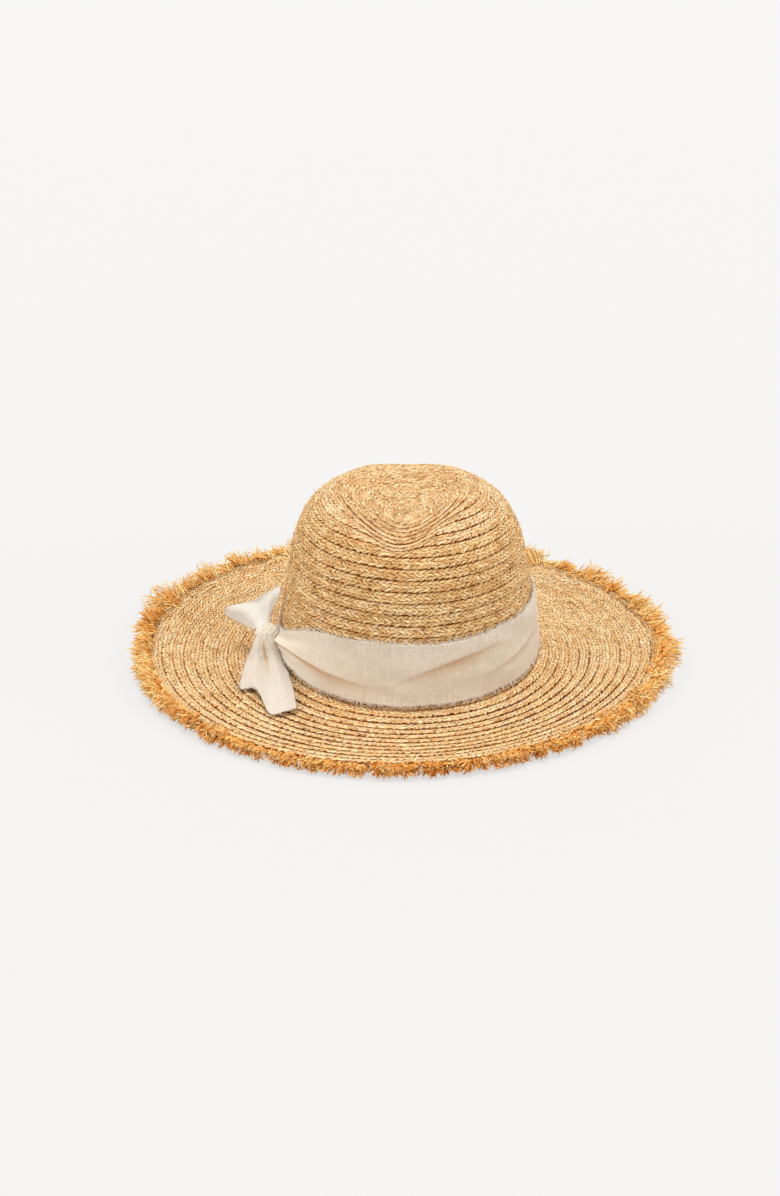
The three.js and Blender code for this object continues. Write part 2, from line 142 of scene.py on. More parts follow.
def brim(theta, reach):
    """Points of the brim, reach mm out from the foot oval."""
    x, y, normal_x, normal_y = oval(theta)
    share = np.clip(reach / brim_width(theta), 0, 1)
    z = FOOT_Z - 6.5 * (1 - np.exp(-np.maximum(reach, 0) / 13)) + 6.5 * share ** 1.8
    z = z + brim_rise(theta) * share ** 2.6
    return np.stack([x + normal_x * reach, y + normal_y * reach, z], -1) + HAT_CENTRE


def brim_z(points):
    """Height of the brim under the points."""
    x, y = points[..., 0] - HAT_CENTRE[0], points[..., 1] - HAT_CENTRE[1]
    theta = np.arctan2(y / HALF_LENGTH, x / HALF_WIDTH)
    reach = np.zeros_like(theta) + 20.0
    for _ in range(12):
        foot_x, foot_y, nx, ny = oval(theta)
        miss_x, miss_y = foot_x + nx * reach - x, foot_y + ny * reach - y
        turning = np.hypot(HALF_WIDTH * np.sin(theta), HALF_LENGTH * np.cos(theta))
        reach = reach - (miss_x * nx + miss_y * ny)
        theta = theta - (miss_x * -ny + miss_y * nx) / (turning + np.maximum(reach, 0))
    return brim(theta, reach)[..., 2]


def crown_normal(theta, climb):
    climb = np.minimum(climb, CROWN_CLIMB - 2.0)
    du = crown(theta + 0.01, climb) - crown(theta - 0.01, climb)
    dv = crown(theta, np.minimum(climb + 0.9, CROWN_CLIMB)) - crown(theta, climb - 0.9)
    return unit(np.cross(du, dv))


def brim_normal(theta, reach):
    du = brim(theta + 0.01, reach) - brim(theta - 0.01, reach)
    dv = brim(theta, reach + 0.9) - brim(theta, reach - 0.9)
    cross = np.cross(dv, du)
    return unit(cross * np.sign(cross[..., 2:3]))


def off_crown(theta, climb, distance):
    """Points that stand off the crown; a negative distance is inside it."""
    return crown(theta, climb) + crown_normal(theta, climb) * np.asarray(distance)[..., None]


# ------------------------------------------------------------------ smooth repeatable noise
def lattice(column, row, seed):
    n = (column * 374761393 + row * 2246822519 + seed * 668265263) & 0xFFFFFFFF
    n = ((n ^ (n >> 13)) * 1274126177) & 0xFFFFFFFF
    return ((n ^ (n >> 16)) & 0xFFFF) / 65535.0 * 2 - 1


def cell(x):
    """Whole part and eased remainder."""
    x = np.asarray(x, float)
    whole = np.floor(x).astype(np.int64)
    f = x - whole
    return whole, f * f * (3 - 2 * f)


def noise1(x, seed, wrap=0, row=0):
    i, f = cell(x)
    j = i + 1
    if wrap:
        i, j = i % wrap, j % wrap
    return lattice(i, row, seed) * (1 - f) + lattice(j, row, seed) * f


def noise2(x, y, seed):
    row, f = cell(y)
    return noise1(x, seed, row=row) * (1 - f) + noise1(x, seed, row=row + 1) * f


# ------------------------------------------------------------------ mesh helpers
def faces_of(*corners):
    """Faces from one array of vertex numbers for each corner."""
    return np.stack(np.broadcast_arrays(*corners), -1).reshape(-1, len(corners))


def uv_of(*corners):
    """Face UVs from one (u, v) pair of arrays for each corner."""
    flat = np.broadcast_arrays(*[part for corner in corners for part in corner])
    return np.stack(flat, -1).reshape(-1, len(corners), 2)


def quad_uv(u0, v0, u1, v1):
    return uv_of((u0, v0), (u1, v0), (u1, v1), (u0, v1))


def grid_uv(columns, rows, u0, v0, u1, v1):
    u, v = np.linspace(u0, u1, columns + 1)[:, None], np.linspace(v0, v1, rows + 1)
    return quad_uv(u[:-1], v[:-1], u[1:], v[1:])


def make_mesh(name, points, faces, uvs, attrs, material, body=None, slot=None, replaces=()):
    """faces and uvs are lists of arrays, one for each kind of face; points are in mm."""
    mesh = bpy.data.meshes.new(name)
    mesh.vertices.add(len(points))
    mesh.vertices.foreach_set(
        "co", (np.asarray(points, np.float64) * MM).astype(np.float32).ravel())
    loops = np.concatenate([f.ravel() for f in faces]).astype(np.int32)
    sizes = np.concatenate([np.full(len(f), f.shape[1]) for f in faces])
    mesh.loops.add(len(loops))
    mesh.loops.foreach_set("vertex_index", loops)
    mesh.polygons.add(len(sizes))
    mesh.polygons.foreach_set("loop_start", np.r_[0, np.cumsum(sizes)[:-1]].astype(np.int32))
    mesh.polygons.foreach_set("use_smooth", np.full(len(sizes), True))
    mesh.update(calc_edges=True)
    flat_uv = [np.asarray(uv, np.float32).reshape(-1, 2) for uv in uvs]
    mesh.uv_layers.new(name="OFBake").data.foreach_set("uv", np.concatenate(flat_uv).ravel())
    for key, values in attrs.items():
        layer = mesh.attributes.new(key, "FLOAT", "POINT")
        layer.data.foreach_set("value", np.asarray(values, np.float32).ravel())
    mesh.materials.append(material)
    mesh.validate(verbose=False)
    ob = bpy.data.objects.new(name, mesh)
    bpy.context.scene.collection.objects.link(ob)
    if body:
        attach(ob, body)
    if replaces:
        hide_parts(*replaces)
    return ob


def sheet(name, outer, inner, closed, attrs, material, flip=False, **place):
    """Two facing grids of points joined at their rims. A closed one wraps along its first axis."""
    columns, across = outer.shape[:2]
    n = columns * across
    idx = np.arange(n).reshape(columns, across)
    if closed:
        idx = np.vstack([idx, idx[:1]])
    nu, nv = len(idx) - 1, across - 1
    front = faces_of(idx[:-1, :-1], idx[1:, :-1], idx[1:, 1:], idx[:-1, 1:])
    low, high = idx[:, 0], idx[:, -1]
    faces = [front, front[:, ::-1] + n,
             faces_of(low[:-1] + n, low[1:] + n, low[1:], low[:-1]),
             faces_of(high[:-1], high[1:], high[1:] + n, high[:-1] + n)]
    u = np.linspace(0.01, 0.99, nu + 1)
    uvs = [grid_uv(nu, nv, 0.01, 0.01, 0.99, 0.48),
           grid_uv(nu, nv, 0.01, 0.52, 0.99, 0.97)[:, ::-1],
           quad_uv(u[:-1], 0.975, u[1:], 0.980), quad_uv(u[:-1], 0.984, u[1:], 0.989)]
    if not closed:
        start, end = idx[0], idx[-1]
        faces += [faces_of(start[:-1], start[1:], start[1:] + n, start[:-1] + n),
                  faces_of(end[1:], end[:-1], end[:-1] + n, end[1:] + n)]
        v = np.linspace(0.01, 0.99, nv + 1)
        uvs += [quad_uv(v[:-1], 0.990, v[1:], 0.993), quad_uv(v[:-1], 0.995, v[1:], 0.998)]
    faces, uvs = np.concatenate(faces), np.concatenate(uvs)
    if flip:
        faces, uvs = faces[:, ::-1], uvs[:, ::-1]
    attrs = {key: np.tile(np.ravel(values), 2) for key, values in attrs.items()}
    points = np.vstack([outer.reshape(-1, 3), inner.reshape(-1, 3)])
    return make_mesh(name, points, [faces], [uvs], attrs, material, **place)


def blades(name, path, width, side, face, attrs, material, ridge, **place):
    """Thin closed three-sided blades, each with its own square of the UV map.

    path, side and face are (count, rings, 3): centre lines and unit vectors across and out.
    """
    count, rings, _ = path.shape
    w = width[..., None]
    points = np.stack([path + side * w * 0.5 - face * w * ridge * 0.3,
                       path + face * w * ridge * 0.7,
                       path - side * w * 0.5 - face * w * ridge * 0.3], 2).reshape(-1, 3)
    first = (np.arange(count) * rings * 3)[:, None]
    ring = first[:, :, None] + (np.arange(rings - 1) * 3)[None, :, None]
    this, after = np.arange(3), (np.arange(3) + 1) % 3
    quads = faces_of(ring + this, ring + 3 + this, ring + 3 + after, ring + after)
    caps = np.vstack([first + [0, 1, 2], first + (rings - 1) * 3 + [2, 1, 0]])

    cells = int(math.ceil(math.sqrt(count)))
    cell_u, cell_v = (np.arange(count) % cells) / cells, (np.arange(count) // cells) / cells
    left, bottom = cell_u[:, None, None], cell_v[:, None, None]
    u = ((np.arange(rings) / (rings - 1)) * 0.86 + 0.07)[:, None]
    v = 0.07 + 0.86 * np.arange(3) / 3
    uv = quad_uv(left + u[:-1] / cells, bottom + v / cells,
                 left + u[1:] / cells, bottom + (v + 0.86 / 3) / cells)
    cap_uv = np.zeros((2 * count, 3, 2))
    cap_uv[:count, :, 0] = (cell_u + 0.07 / cells)[:, None]
    cap_uv[count:, :, 0] = (cell_u + 0.93 / cells)[:, None]
    cap_uv[:, :, 1] = np.r_[cell_v, cell_v][:, None] + np.array([0.1, 0.3, 0.5]) / cells
    attrs = {key: np.repeat(values, 3, axis=1) for key, values in attrs.items()}
    return make_mesh(name, points, [quads, caps], [uv, cap_uv], attrs, material, **place)


def grow(start, heading, stride, bend, rings):
    """Paths that turn by bend() after every stride, and the headings they end with."""
    points = [start]
    for _ in range(rings - 1):
        points.append(points[-1] + heading * stride[:, None])
        heading = bend(heading)
    return np.stack(points, 1), heading


def hold(vectors, rings):
    """The same vector at every ring of a path."""
    return np.repeat(vectors[:, None, :], rings, 1)


def tube(path, radius, lobes=0, pitch=1.0, sides=10, closed=False, depth=0.14):
    """A tube round the path, or a rope of so many lobes that turns once in each pitch.

    Returns points, quads, cap triangles, lengths along the path and angles round it.
    """
    n = len(path)
    if closed:
        ahead = unit(np.roll(path, -1, 0) - np.roll(path, 1, 0))
    else:
        ahead = unit(np.gradient(path, axis=0))
    side = unit(np.cross(ahead, np.array([0.13, 0.21, 0.97])))
    # Carry the first side vector along, so that the section doesn't spin
    for i in range(1, n):
        v = side[i - 1] - ahead[i] * (side[i - 1] @ ahead[i])
        side[i] = v / max(np.linalg.norm(v), 1e-9)
    up = np.cross(ahead, side)
    length = np.r_[0, np.cumsum(np.linalg.norm(np.diff(path, axis=0), axis=1))]
    angle = np.arange(sides) * TAU / sides
    r = np.broadcast_to(np.asarray(radius, float).reshape(-1, 1), (n, sides)).copy()
    if lobes:
        turned = angle[None, :] - TAU / pitch * length[:, None]
        r *= 1 - depth + depth * np.abs(np.cos(0.5 * lobes * turned)) * 2
    points = (path[:, None, :] + side[:, None, :] * (np.cos(angle) * r)[..., None]
              + up[:, None, :] * (np.sin(angle) * r)[..., None]).reshape(-1, 3)
    idx = np.arange(n * sides).reshape(n, sides)
    this, after = (idx, np.roll(idx, -1, 0)) if closed else (idx[:-1], idx[1:])
    j = np.roll(np.arange(sides), -1)
    quads = faces_of(after, after[:, j], this[:, j], this)
    caps = np.zeros((0, 3), int)
    if not closed:
        points = np.vstack([points, path[0], path[-1]])
        caps = np.vstack([faces_of(idx[0], idx[0, j], n * sides),
                          faces_of(idx[-1, j], idx[-1], n * sides + 1)])
    return points, quads, caps, length, angle


# ------------------------------------------------------------------ material helpers
class Value:
    """A shader output; each +, - or * on it adds a maths node."""

    def __init__(self, shader, socket):
        self.shader = shader
        self.socket = socket

    def __add__(self, other):
        return self.shader.calc("ADD", self, other)

    def __radd__(self, other):
        return self.shader.calc("ADD", other, self)

    def __sub__(self, other):
        return self.shader.calc("SUBTRACT", self, other)

    def __rsub__(self, other):
        return self.shader.calc("SUBTRACT", other, self)

    def __mul__(self, other):
        return self.shader.calc("MULTIPLY", self, other)


class Shader:
    """A new material and the nodes that feed its Principled BSDF."""

    def __init__(self, name):
        self.material = bpy.data.materials.new(name)
        self.material.use_nodes = True
        self.tree = self.material.node_tree
        self.bsdf = self.tree.nodes["Principled BSDF"]

    def put(self, socket, value):
        if isinstance(value, Value):
            self.tree.links.new(value.socket, socket)
            return
        if isinstance(value, tuple) and len(value) == 3 and socket.type == "RGBA":
            value = (*value, 1)
        socket.default_value = value

    def node(self, kind, output, inputs, **settings):
        made = self.tree.nodes.new("ShaderNode" + kind)
        for key, value in settings.items():
            setattr(made, key, value)
        for key, value in inputs.items():
            self.put(made.inputs[key], value)
        return Value(self, made.outputs[output])

    def calc(self, operation, *values):
        return self.node("Math", 0, dict(enumerate(values)), operation=operation)

    def wave(self, value):
        return self.calc("SINE", value)

    def size(self, value):
        return self.calc("ABSOLUTE", value)

    def step(self, value, low, high):
        return self.node("MapRange", "Result",
                         {"Value": value, "From Min": low, "From Max": high},
                         interpolation_type="SMOOTHSTEP", clamp=True)

    def attribute(self, name):
        return self.node("Attribute", "Fac", {}, attribute_name=name)

    def vector(self, *xyz):
        return self.node("CombineXYZ", 0, dict(enumerate(xyz)))

    def position(self):
        return self.node("TexCoord", "Object", {})

    def noise(self, vector, scale, detail=2.0, rough=0.5):
        return self.node("TexNoise", "Fac", {"Vector": vector, "Scale": scale,
                                             "Detail": detail, "Roughness": rough})

    def white(self, *xyz):
        return self.node("TexWhiteNoise", "Value", {"Vector": self.vector(*xyz)},
                         noise_dimensions="3D")

    def ramp(self, factor, stops):
        made = self.tree.nodes.new("ShaderNodeValToRGB")
        elements = made.color_ramp.elements
        while len(elements) < len(stops):
            elements.new(0.5)
        for i, (place, colour) in enumerate(stops):
            elements[i].position = place
            elements[i].color = (*colour, 1)
        self.put(made.inputs["Fac"], factor)
        return Value(self, made.outputs["Color"])

    def mix(self, factor, a, b):
        return self.node("Mix", 2, {0: factor, 6: a, 7: b}, data_type="RGBA")

    def bump(self, height, strength, depth):
        return self.node("Bump", 0, {"Strength": strength, "Distance": depth * MM,
                                     "Height": height})

    def done(self, colour, rough, normal=None, sheen=0.0, specular=0.35):
        self.put(self.bsdf.inputs["Base Color"], colour)
        self.put(self.bsdf.inputs["Roughness"], rough)
        self.bsdf.inputs["Specular IOR Level"].default_value = specular
        self.bsdf.inputs["Sheen Weight"].default_value = sheen
        if normal is not None:
            self.put(self.bsdf.inputs["Normal"], normal)
        return self.material


def rgb(*channels):
    """sRGB 0-255 to linear."""
    return tuple((v / 255) / 12.92 if v / 255 <= 0.04045 else ((v / 255 + 0.055) / 1.055) ** 2.4
                 for v in channels)


# ------------------------------------------------------------------ plaited straw
COLUMNS = 3                # columns of leaves across a strip
SLANT = 1.05               # how far a leaf slopes across its column, in leaves
HALF = 0.85                # makes the leaf tips of neighbouring columns interleave


def braid_material(name, dark, mid, light, gap_shade_and_speck_colour, seam_shade_colour, seed, fleck=1.0):
    """Plait drawn from leaf coordinates: qa counts leaves along the strip, qb columns across. It
    carries painted shade in the grooves between turns and between leaves, and painted highlights
    on some leaves.
    """
    s = Shader(name)
    qa, qb, seam_shade, tone = (s.attribute(key) for key in ("qa", "qb", "seam_shade", "tone"))
    pos = s.position()
    qa = qa + (s.noise(pos, scale=240.0, detail=1.0) - 0.5) * 1.5
    sway = s.noise(s.vector(qa * 0.9, qb * 0.7, seed), scale=1.0, detail=1.0)
    qb = qb + (sway - 0.5) * 0.55
    column = s.calc("FLOOR", qb)
    across = qb - column
    odd = s.calc("MODULO", column + 20.0, 2.0)
    slope = 1.0 - odd * 2.0
    phase = qa + slope * across * SLANT + odd * HALF
    leaf = s.calc("FLOOR", phase)
    along = phase - leaf
    leaf_random = s.white(leaf, column, seed)
    gap_random = s.white(leaf, column, seed + 9)
    # Fibres run along each leaf
    fibre_at = s.vector(across * 1.1 + leaf * 5.37, along * 8.5, column * 3.1)
    fibre = s.noise(fibre_at, scale=1.0, detail=3.0, rough=0.65)
    fine = s.noise(pos, scale=1100.0, rough=0.6)
    long_edge = s.calc("POWER", s.size(along * 2.0 - 1.0), 2.4)
    short_edge = s.calc("POWER", s.size(across * 2.0 - 1.0), 4.0)
    edge = ((long_edge + short_edge * 0.75)
            + ((fine - 0.5) * 0.9 + (gap_random - 0.5) * 0.35))
    gap = s.step(edge, 0.50, 1.04)
    big = s.noise(pos, scale=22.0)
    shade = (((leaf_random - 0.5) * 0.42 + (fibre - 0.5) * (0.75 + 0.60 * fleck))
             + ((big - 0.5) * 0.18 + ((fine - 0.5) * 0.45 + tone * 0.10)))
    # Painted shade: each leaf is a little darker towards its ends, where it turns under
    shade = shade + 0.58 - long_edge * 0.10
    colour = s.ramp(shade, [(0.08, dark), (0.5, mid), (0.92, light)])
    # A few leaves lean towards green or rose, as dried straw does
    tint = s.white(leaf, column + 7.7, seed + 3)
    colour = s.mix(s.step(tint, 0.80, 1.0) * 0.26, colour, rgb(222, 196, 124))
    colour = s.mix(s.step(1.0 - tint, 0.82, 1.0) * 0.24, colour, rgb(238, 178, 130))
    # Painted shade in the gaps between leaves; the specks after it are the straw's own flecks
    gap_depth = (0.35 + 0.20 * fleck) + gap_random * 0.45
    colour = s.mix(gap * gap_depth, colour, gap_shade_and_speck_colour)
    specks = s.step(s.noise(pos, scale=520.0, rough=0.65), 0.57, 0.68) * (0.80 * fleck)
    colour = s.mix(specks, colour, gap_shade_and_speck_colour)
    # Painted highlights: small glints on some leaves
    glint_at = s.vector(across * 1.1, along * 3.0, leaf * 2.7 + column)
    glint_noise = s.noise(glint_at, scale=1.0, rough=0.6)
    glints = s.step(1.0 - glint_noise, 0.54, 0.66) * (0.55 * fleck)
    colour = s.mix(glints * (1.0 - gap), colour, light)
    # Painted seam shade: darkened where one turn laps the next, as the shadow in the groove
    colour = s.mix(seam_shade, colour, seam_shade_colour)
    height = (1.0 - s.calc("MINIMUM", edge, 1.2)) * 0.9 + fibre * 0.40
    normal = s.bump(height, strength=1.0, depth=0.9)
    s.done(colour, 0.50 + fibre * 0.25, normal, specular=0.3)
    # Seams and gaps don't shine
    s.put(s.bsdf.inputs["Specular IOR Level"], (1.0 - s.calc("MAXIMUM", seam_shade, gap)) * 0.26)
    return s.material


def leaf_share(qa, column, across):
    """How far along its leaf a place is, 0 to 1."""
    odd = np.mod(column, 2)
    phase = qa + (1 - 2 * odd) * across * SLANT + odd * HALF
    return phase - np.floor(phase)


def plait_height(qa, qb):
    column = np.floor(qb)
    across = qb - column
    hump = np.sin(np.pi * leaf_share(qa, column, across)) ** 0.7
    return (0.25 + 0.75 * hump) * (1 - 0.55 * np.abs(2 * across - 1) ** 4)


def seam_front(theta, out, on_crown):
    """1 where lapping edges show over the next turn, less round the sides, least at the back. It
    sets how high the edges lap and how strong the painted shade at their grooves is.
    """
    facing = np.clip((0.12 + 0.12 * np.cos(theta) - np.sin(theta)) / 0.80, 0, 1)
    if on_crown:
        return facing * np.clip((out - 10.0) / 18.0, 0.15, 1)
    return facing * np.clip(out / 10.0, 0.4, 1)


# Section of a strip, as shares of its width: over the top from the tucked edge to the
# lapping edge, then back underneath
SECTION_TOP = np.array([-0.24, -0.10, -0.02, 0.04, 0.11, 0.19, 0.27, 0.35, 0.43,
                        0.51, 0.59, 0.67, 0.75, 0.83, 0.90, 0.955, 0.99])
SECTION_UNDER = np.array([0.99, 0.80, 0.50, 0.18, -0.20])
SECTION = np.r_[SECTION_TOP, SECTION_UNDER]
STEP = 0.66                  # length of strip between sections


def coil_uv(turn, first, last, rows_per_turn):
    """Every turn of a strip is cut into short rows of the UV map."""
    passed = (turn[:-1] - first) * rows_per_turn
    row = np.floor(passed).astype(int)
    rows = int(np.ceil((last - first) * rows_per_turn)) + 1
    u0 = passed - row
    u1 = u0 + np.diff(turn) * rows_per_turn
    widths = np.r_[np.diff(SECTION_TOP), 0.12, 0.55 * np.abs(np.diff(SECTION_UNDER)), 0.10]
    v = np.r_[0, np.cumsum(widths)] / widths.sum()
    scale = 1.0 / 1.002
    row = row[:, None]
    return quad_uv((0.001 + u0 * 0.995)[:, None], (row + 0.03 + 0.94 * v[:-1]) / rows * scale,
                   (0.001 + u1 * 0.995)[:, None], (row + 0.03 + 0.94 * v[1:]) / rows * scale)


def coil(name, first, last, material, replaces, *, surface, normal, radius, inner_edge,
         outer_edge, theta_of, on_crown, leaf_pitch, thick, relief, lap, seed,
         rows_per_turn, slot):
    """A strip of plait from turn first to turn last; its outer edge laps the next turn."""
    fine = np.linspace(first, last, 40000)
    r = radius(0.5 * (inner_edge(fine) + outer_edge(fine)))
    length = np.r_[0, np.cumsum(0.5 * (r[1:] + r[:-1]) * np.diff(fine) * TAU)]
    walked = np.linspace(0, length[-1], int(length[-1] / STEP) + 1)
    turn = np.interp(walked, length, fine)
    along, across = walked[:, None], SECTION[None, :]
    theta = theta_of(turn)[:, None]
    inner, outer = inner_edge(turn)[:, None], outer_edge(turn)[:, None]
    width = outer - inner
    inside = np.clip(across, 0, 1)
    top = (np.arange(len(SECTION)) < len(SECTION_TOP))[None, :]

    def wander(wavelength, offset):
        return noise1(along / wavelength, seed + offset)

    # Leaf coordinates, slightly irregular
    qa = along / leaf_pitch + (0.22 * wander(9.0, 0) + 0.35 * wander(31.0, 1))
    qa = qa + 0.08 * noise2(along / 4.0, across * 4, seed + 9)
    qb = (np.clip(across, 0.001, 0.999) * COLUMNS
          + 0.22 * wander(13.0, 2) * np.sin(np.pi * inside) + 10.0)
    plait = plait_height(qa, qb)

    # The lapping edge is scalloped by the leaves that turn back there
    tooth = along / 6.6 + 0.35 * wander(12.0, 30)
    tooth = tooth - np.floor(tooth)
    tooth = np.where(tooth < 0.86, tooth / 0.86, (1 - tooth) / 0.14) - 0.5
    turn_back = np.sin(np.pi * leaf_share(qa, COLUMNS - 1, 1)) ** 0.8
    scallop = tooth * (0.80 + 0.45 * wander(14.0, 31)) + (turn_back - 0.62) * 0.62
    ragged = 0.34 * wander(17.0, 4) + 0.34 * wander(4.5, 5)
    edge = np.clip((across - 0.55) / 0.45, 0, 1) ** 2
    out = (inner + across * width + edge * (scallop + ragged) * np.minimum(1, width / 6)
           + (1 - edge) * (0.30 * wander(23.0, 6)) * 0.4)

    # Each turn rides up on the next one, arches, dives at its tuck and rolls at its edge
    face = seam_front(theta, outer, on_crown)
    lift = -0.55 + 1.25 * inside ** 1.15 * lap * (0.50 + 0.50 * face)
    arch = 0.42 if on_crown else 0.42 + 0.35 * face
    lift = lift + arch * (1 - (2 * inside - 1) ** 2)
    lift = lift - 1.15 * np.clip(-across / 0.24, 0, 1) ** 0.8
    lift = lift - 0.55 * np.clip((across - 0.86) / 0.13, 0, 1) ** 2
    lift = lift + 0.18 * wander(40.0, 7)
    over = lift + relief * (plait - 0.55) * np.clip(1 - np.clip(-across, 0, 1) * 4, 0, 1)
    under = lift - thick - relief * 0.6 * (plait - 0.5)
    height = np.where(top, over, under)
    points = surface(theta, out) + normal(theta, out) * height[..., None]
    points[..., 2] = np.maximum(points[..., 2], 0.15)

    # Painted seam shade: darker where the strip dives under its neighbour and at its lapping edge,
    # as the shadow in the groove between turns; strongest where the edges face the front
    shadow = 0.105 + 0.010 * face if on_crown else 0.120 + 0.024 * face
    seam_shade = (np.clip((shadow - across) / 0.055, 0, 1) * top
            + (~top) * np.clip((across - 0.9) / 0.05, 0, 1) * 0.8)
    lip = np.clip((across - 0.96) / 0.025, 0, 1) * top * (0.45 + 0.35 * face)
    seam_shade = np.clip(np.maximum(seam_shade, lip), 0, 1)
    dash = np.clip(0.5 + 0.5 * wander(3.1, 11) + 0.45 * wander(8.0, 15), 0, 1)
    steady, broken = (0.82, 0.18) if on_crown else (0.72, 0.28)
    keep = (np.clip(face + (1 - face) * (dash - 0.66) * 2.4, 0, 1)
            * (steady + broken * np.clip(dash * 1.8, 0, 1)))
    seam_shade = np.where(across < -0.03, seam_shade, seam_shade * keep)
    if not on_crown:
        # Painted shade: the straw close to the scarf's knot is a little darker, as the shadow of
        # the tails and the crown
        angle = np.mod(theta, TAU)
        shade = (0.22 * np.exp(-((angle - math.radians(151)) / math.radians(13)) ** 2
                               - ((out - 18) / 14) ** 2)
                 + 0.20 * np.exp(-((angle - math.radians(186)) / math.radians(24)) ** 2
                                 - ((out - 6) / 14) ** 2))
        seam_shade = np.maximum(seam_shade, shade * top)
    tone = (wander(25.0, 12) * 0.6
            + noise1(np.floor(turn[:, None]) * 1.7 + 0.4, seed + 13) * 0.4)
    tone = np.broadcast_to(tone, qa.shape)

    idx = np.arange(qa.size).reshape(qa.shape)
    this, after = idx[:-1], idx[1:]
    j = np.roll(np.arange(len(SECTION)), -1)
    quads = faces_of(this, after, after[:, j], this[:, j])
    caps = np.vstack([faces_of(qa.size, idx[0], idx[0, j]),
                      faces_of(qa.size + 1, idx[-1, j], idx[-1])])
    uv = coil_uv(turn, first, last, rows_per_turn)
    if not on_crown:
        quads, caps, uv = quads[:, ::-1], caps[:, ::-1], uv[:, ::-1]
    cap_uv = np.full((len(caps), 3, 2), 0.9995)
    # The two cap centres come last
    attrs = {key: np.r_[values.ravel(), [at_cap] * 2] for key, values, at_cap in
             (("qa", qa, 0.0), ("qb", qb, 10.5), ("seam_shade", seam_shade, 1.0), ("tone", tone, 0.0))}
    points = np.vstack([points.reshape(-1, 3), points[0].mean(0), points[-1].mean(0)])
    make_mesh(name, points, [quads, caps], [uv, cap_uv], attrs, material, "hat", slot, replaces)


# Three copies of one straw: the tip and the brim, which face up, are painted lighter than the
# crown's wall, as painted light from above
CROWN_STRAW = braid_material(
    "straw_crown", dark=rgb(180, 118, 55), mid=rgb(226, 176, 113), light=rgb(249, 221, 171),
    gap_shade_and_speck_colour=rgb(112, 58, 10), seam_shade_colour=rgb(128, 60, 4), seed=1.0, fleck=0.45)
TIP_STRAW_LIT = braid_material(
    "straw_tip_lit", dark=rgb(192, 134, 76), mid=rgb(234, 188, 132), light=rgb(250, 230, 186),
    gap_shade_and_speck_colour=rgb(136, 78, 26), seam_shade_colour=rgb(140, 72, 14), seed=1.0, fleck=0.50)
BRIM_STRAW_LIT = braid_material(
    "straw_brim", dark=rgb(206, 144, 77), mid=rgb(250, 202, 139), light=rgb(255, 238, 195),
    gap_shade_and_speck_colour=rgb(140, 76, 18), seam_shade_colour=rgb(136, 64, 4), seed=2.0)

# The crown's coil starts at the top, so out is measured down from there
CROWN_PITCH = 7.6
CROWN_PHASE = 0.838
CROWN_END = CROWN_CLIMB - 0.6
CROWN_COIL = dict(
    surface=lambda theta, out: crown(theta, np.clip(CROWN_CLIMB - out, 0.0, CROWN_CLIMB - 0.4)),
    normal=lambda theta, out: crown_normal(
        theta, np.clip(CROWN_CLIMB - out, 1.0, CROWN_CLIMB - 0.4)),
    radius=lambda out: MEAN_RADIUS * np.interp(CROWN_CLIMB - out, CURVE_ARC, CURVE[:, 0]),
    inner_edge=lambda turn: np.minimum(np.maximum(CROWN_PITCH * (turn - 1.0), 0.35),
                                       CROWN_END - 0.25),
    outer_edge=lambda turn: np.minimum(CROWN_PITCH * turn, CROWN_END),
    theta_of=lambda turn: TAU * (turn - CROWN_PHASE),
    on_crown=True, leaf_pitch=4.4, thick=1.25, relief=0.80, lap=1.0, seed=11,
    rows_per_turn=2, slot="straw_crown")

# The brim's coil starts at the crown; out is scaled to the brim's true width at each angle
BRIM_TURNS = 12
BRIM_REACH = 84.0
BRIM_PITCH = BRIM_REACH / BRIM_TURNS
BRIM_TUCK = -1.8                               # where the first turn starts, under the wall


def brim_inner_edge(turn):
    w = np.clip((turn - 1.03) / 0.04, 0, 1)
    edge = BRIM_TUCK * (1 - w) + np.maximum(BRIM_PITCH * (turn - 1.0), BRIM_TUCK) * w
    return np.minimum(edge, BRIM_REACH - 0.25)


BRIM_COIL = dict(
    surface=lambda theta, out: brim(theta, out * brim_width(theta) / BRIM_REACH),
    normal=lambda theta, out: brim_normal(theta, out * brim_width(theta) / BRIM_REACH),
    radius=lambda out: MEAN_RADIUS + out,
    inner_edge=brim_inner_edge,
    outer_edge=lambda turn: np.minimum(BRIM_PITCH * turn, BRIM_REACH),
    theta_of=lambda turn: TAU * (turn - 0.3),
    on_crown=False, leaf_pitch=4.3, thick=1.15, relief=0.68, lap=1.15, seed=41,
    rows_per_turn=3, slot="straw_brim")

# Name, first turn, last turn, material, piece replaced, coil
for name, first, last, straw, replaced, settings in (
        ("crown_tip_braid", 0.32, 10.0, TIP_STRAW_LIT, ("crown",), CROWN_COIL),
        ("crown_upper_braid", 10.0, 17.0, CROWN_STRAW, (), CROWN_COIL),
        ("crown_lower_braid", 17.0, CROWN_CLIMB / CROWN_PITCH + 0.93, CROWN_STRAW, (),
         CROWN_COIL),
        ("brim_inner_braid", 0.02, 5.0, BRIM_STRAW_LIT, ("brim",), BRIM_COIL),
        ("brim_middle_braid", 5.0, 9.2, BRIM_STRAW_LIT, (), BRIM_COIL),
        ("brim_outer_braid", 9.2, BRIM_TURNS + 0.93, BRIM_STRAW_LIT, (), BRIM_COIL)):
    coil(name, first, last, straw, replaced, **settings)


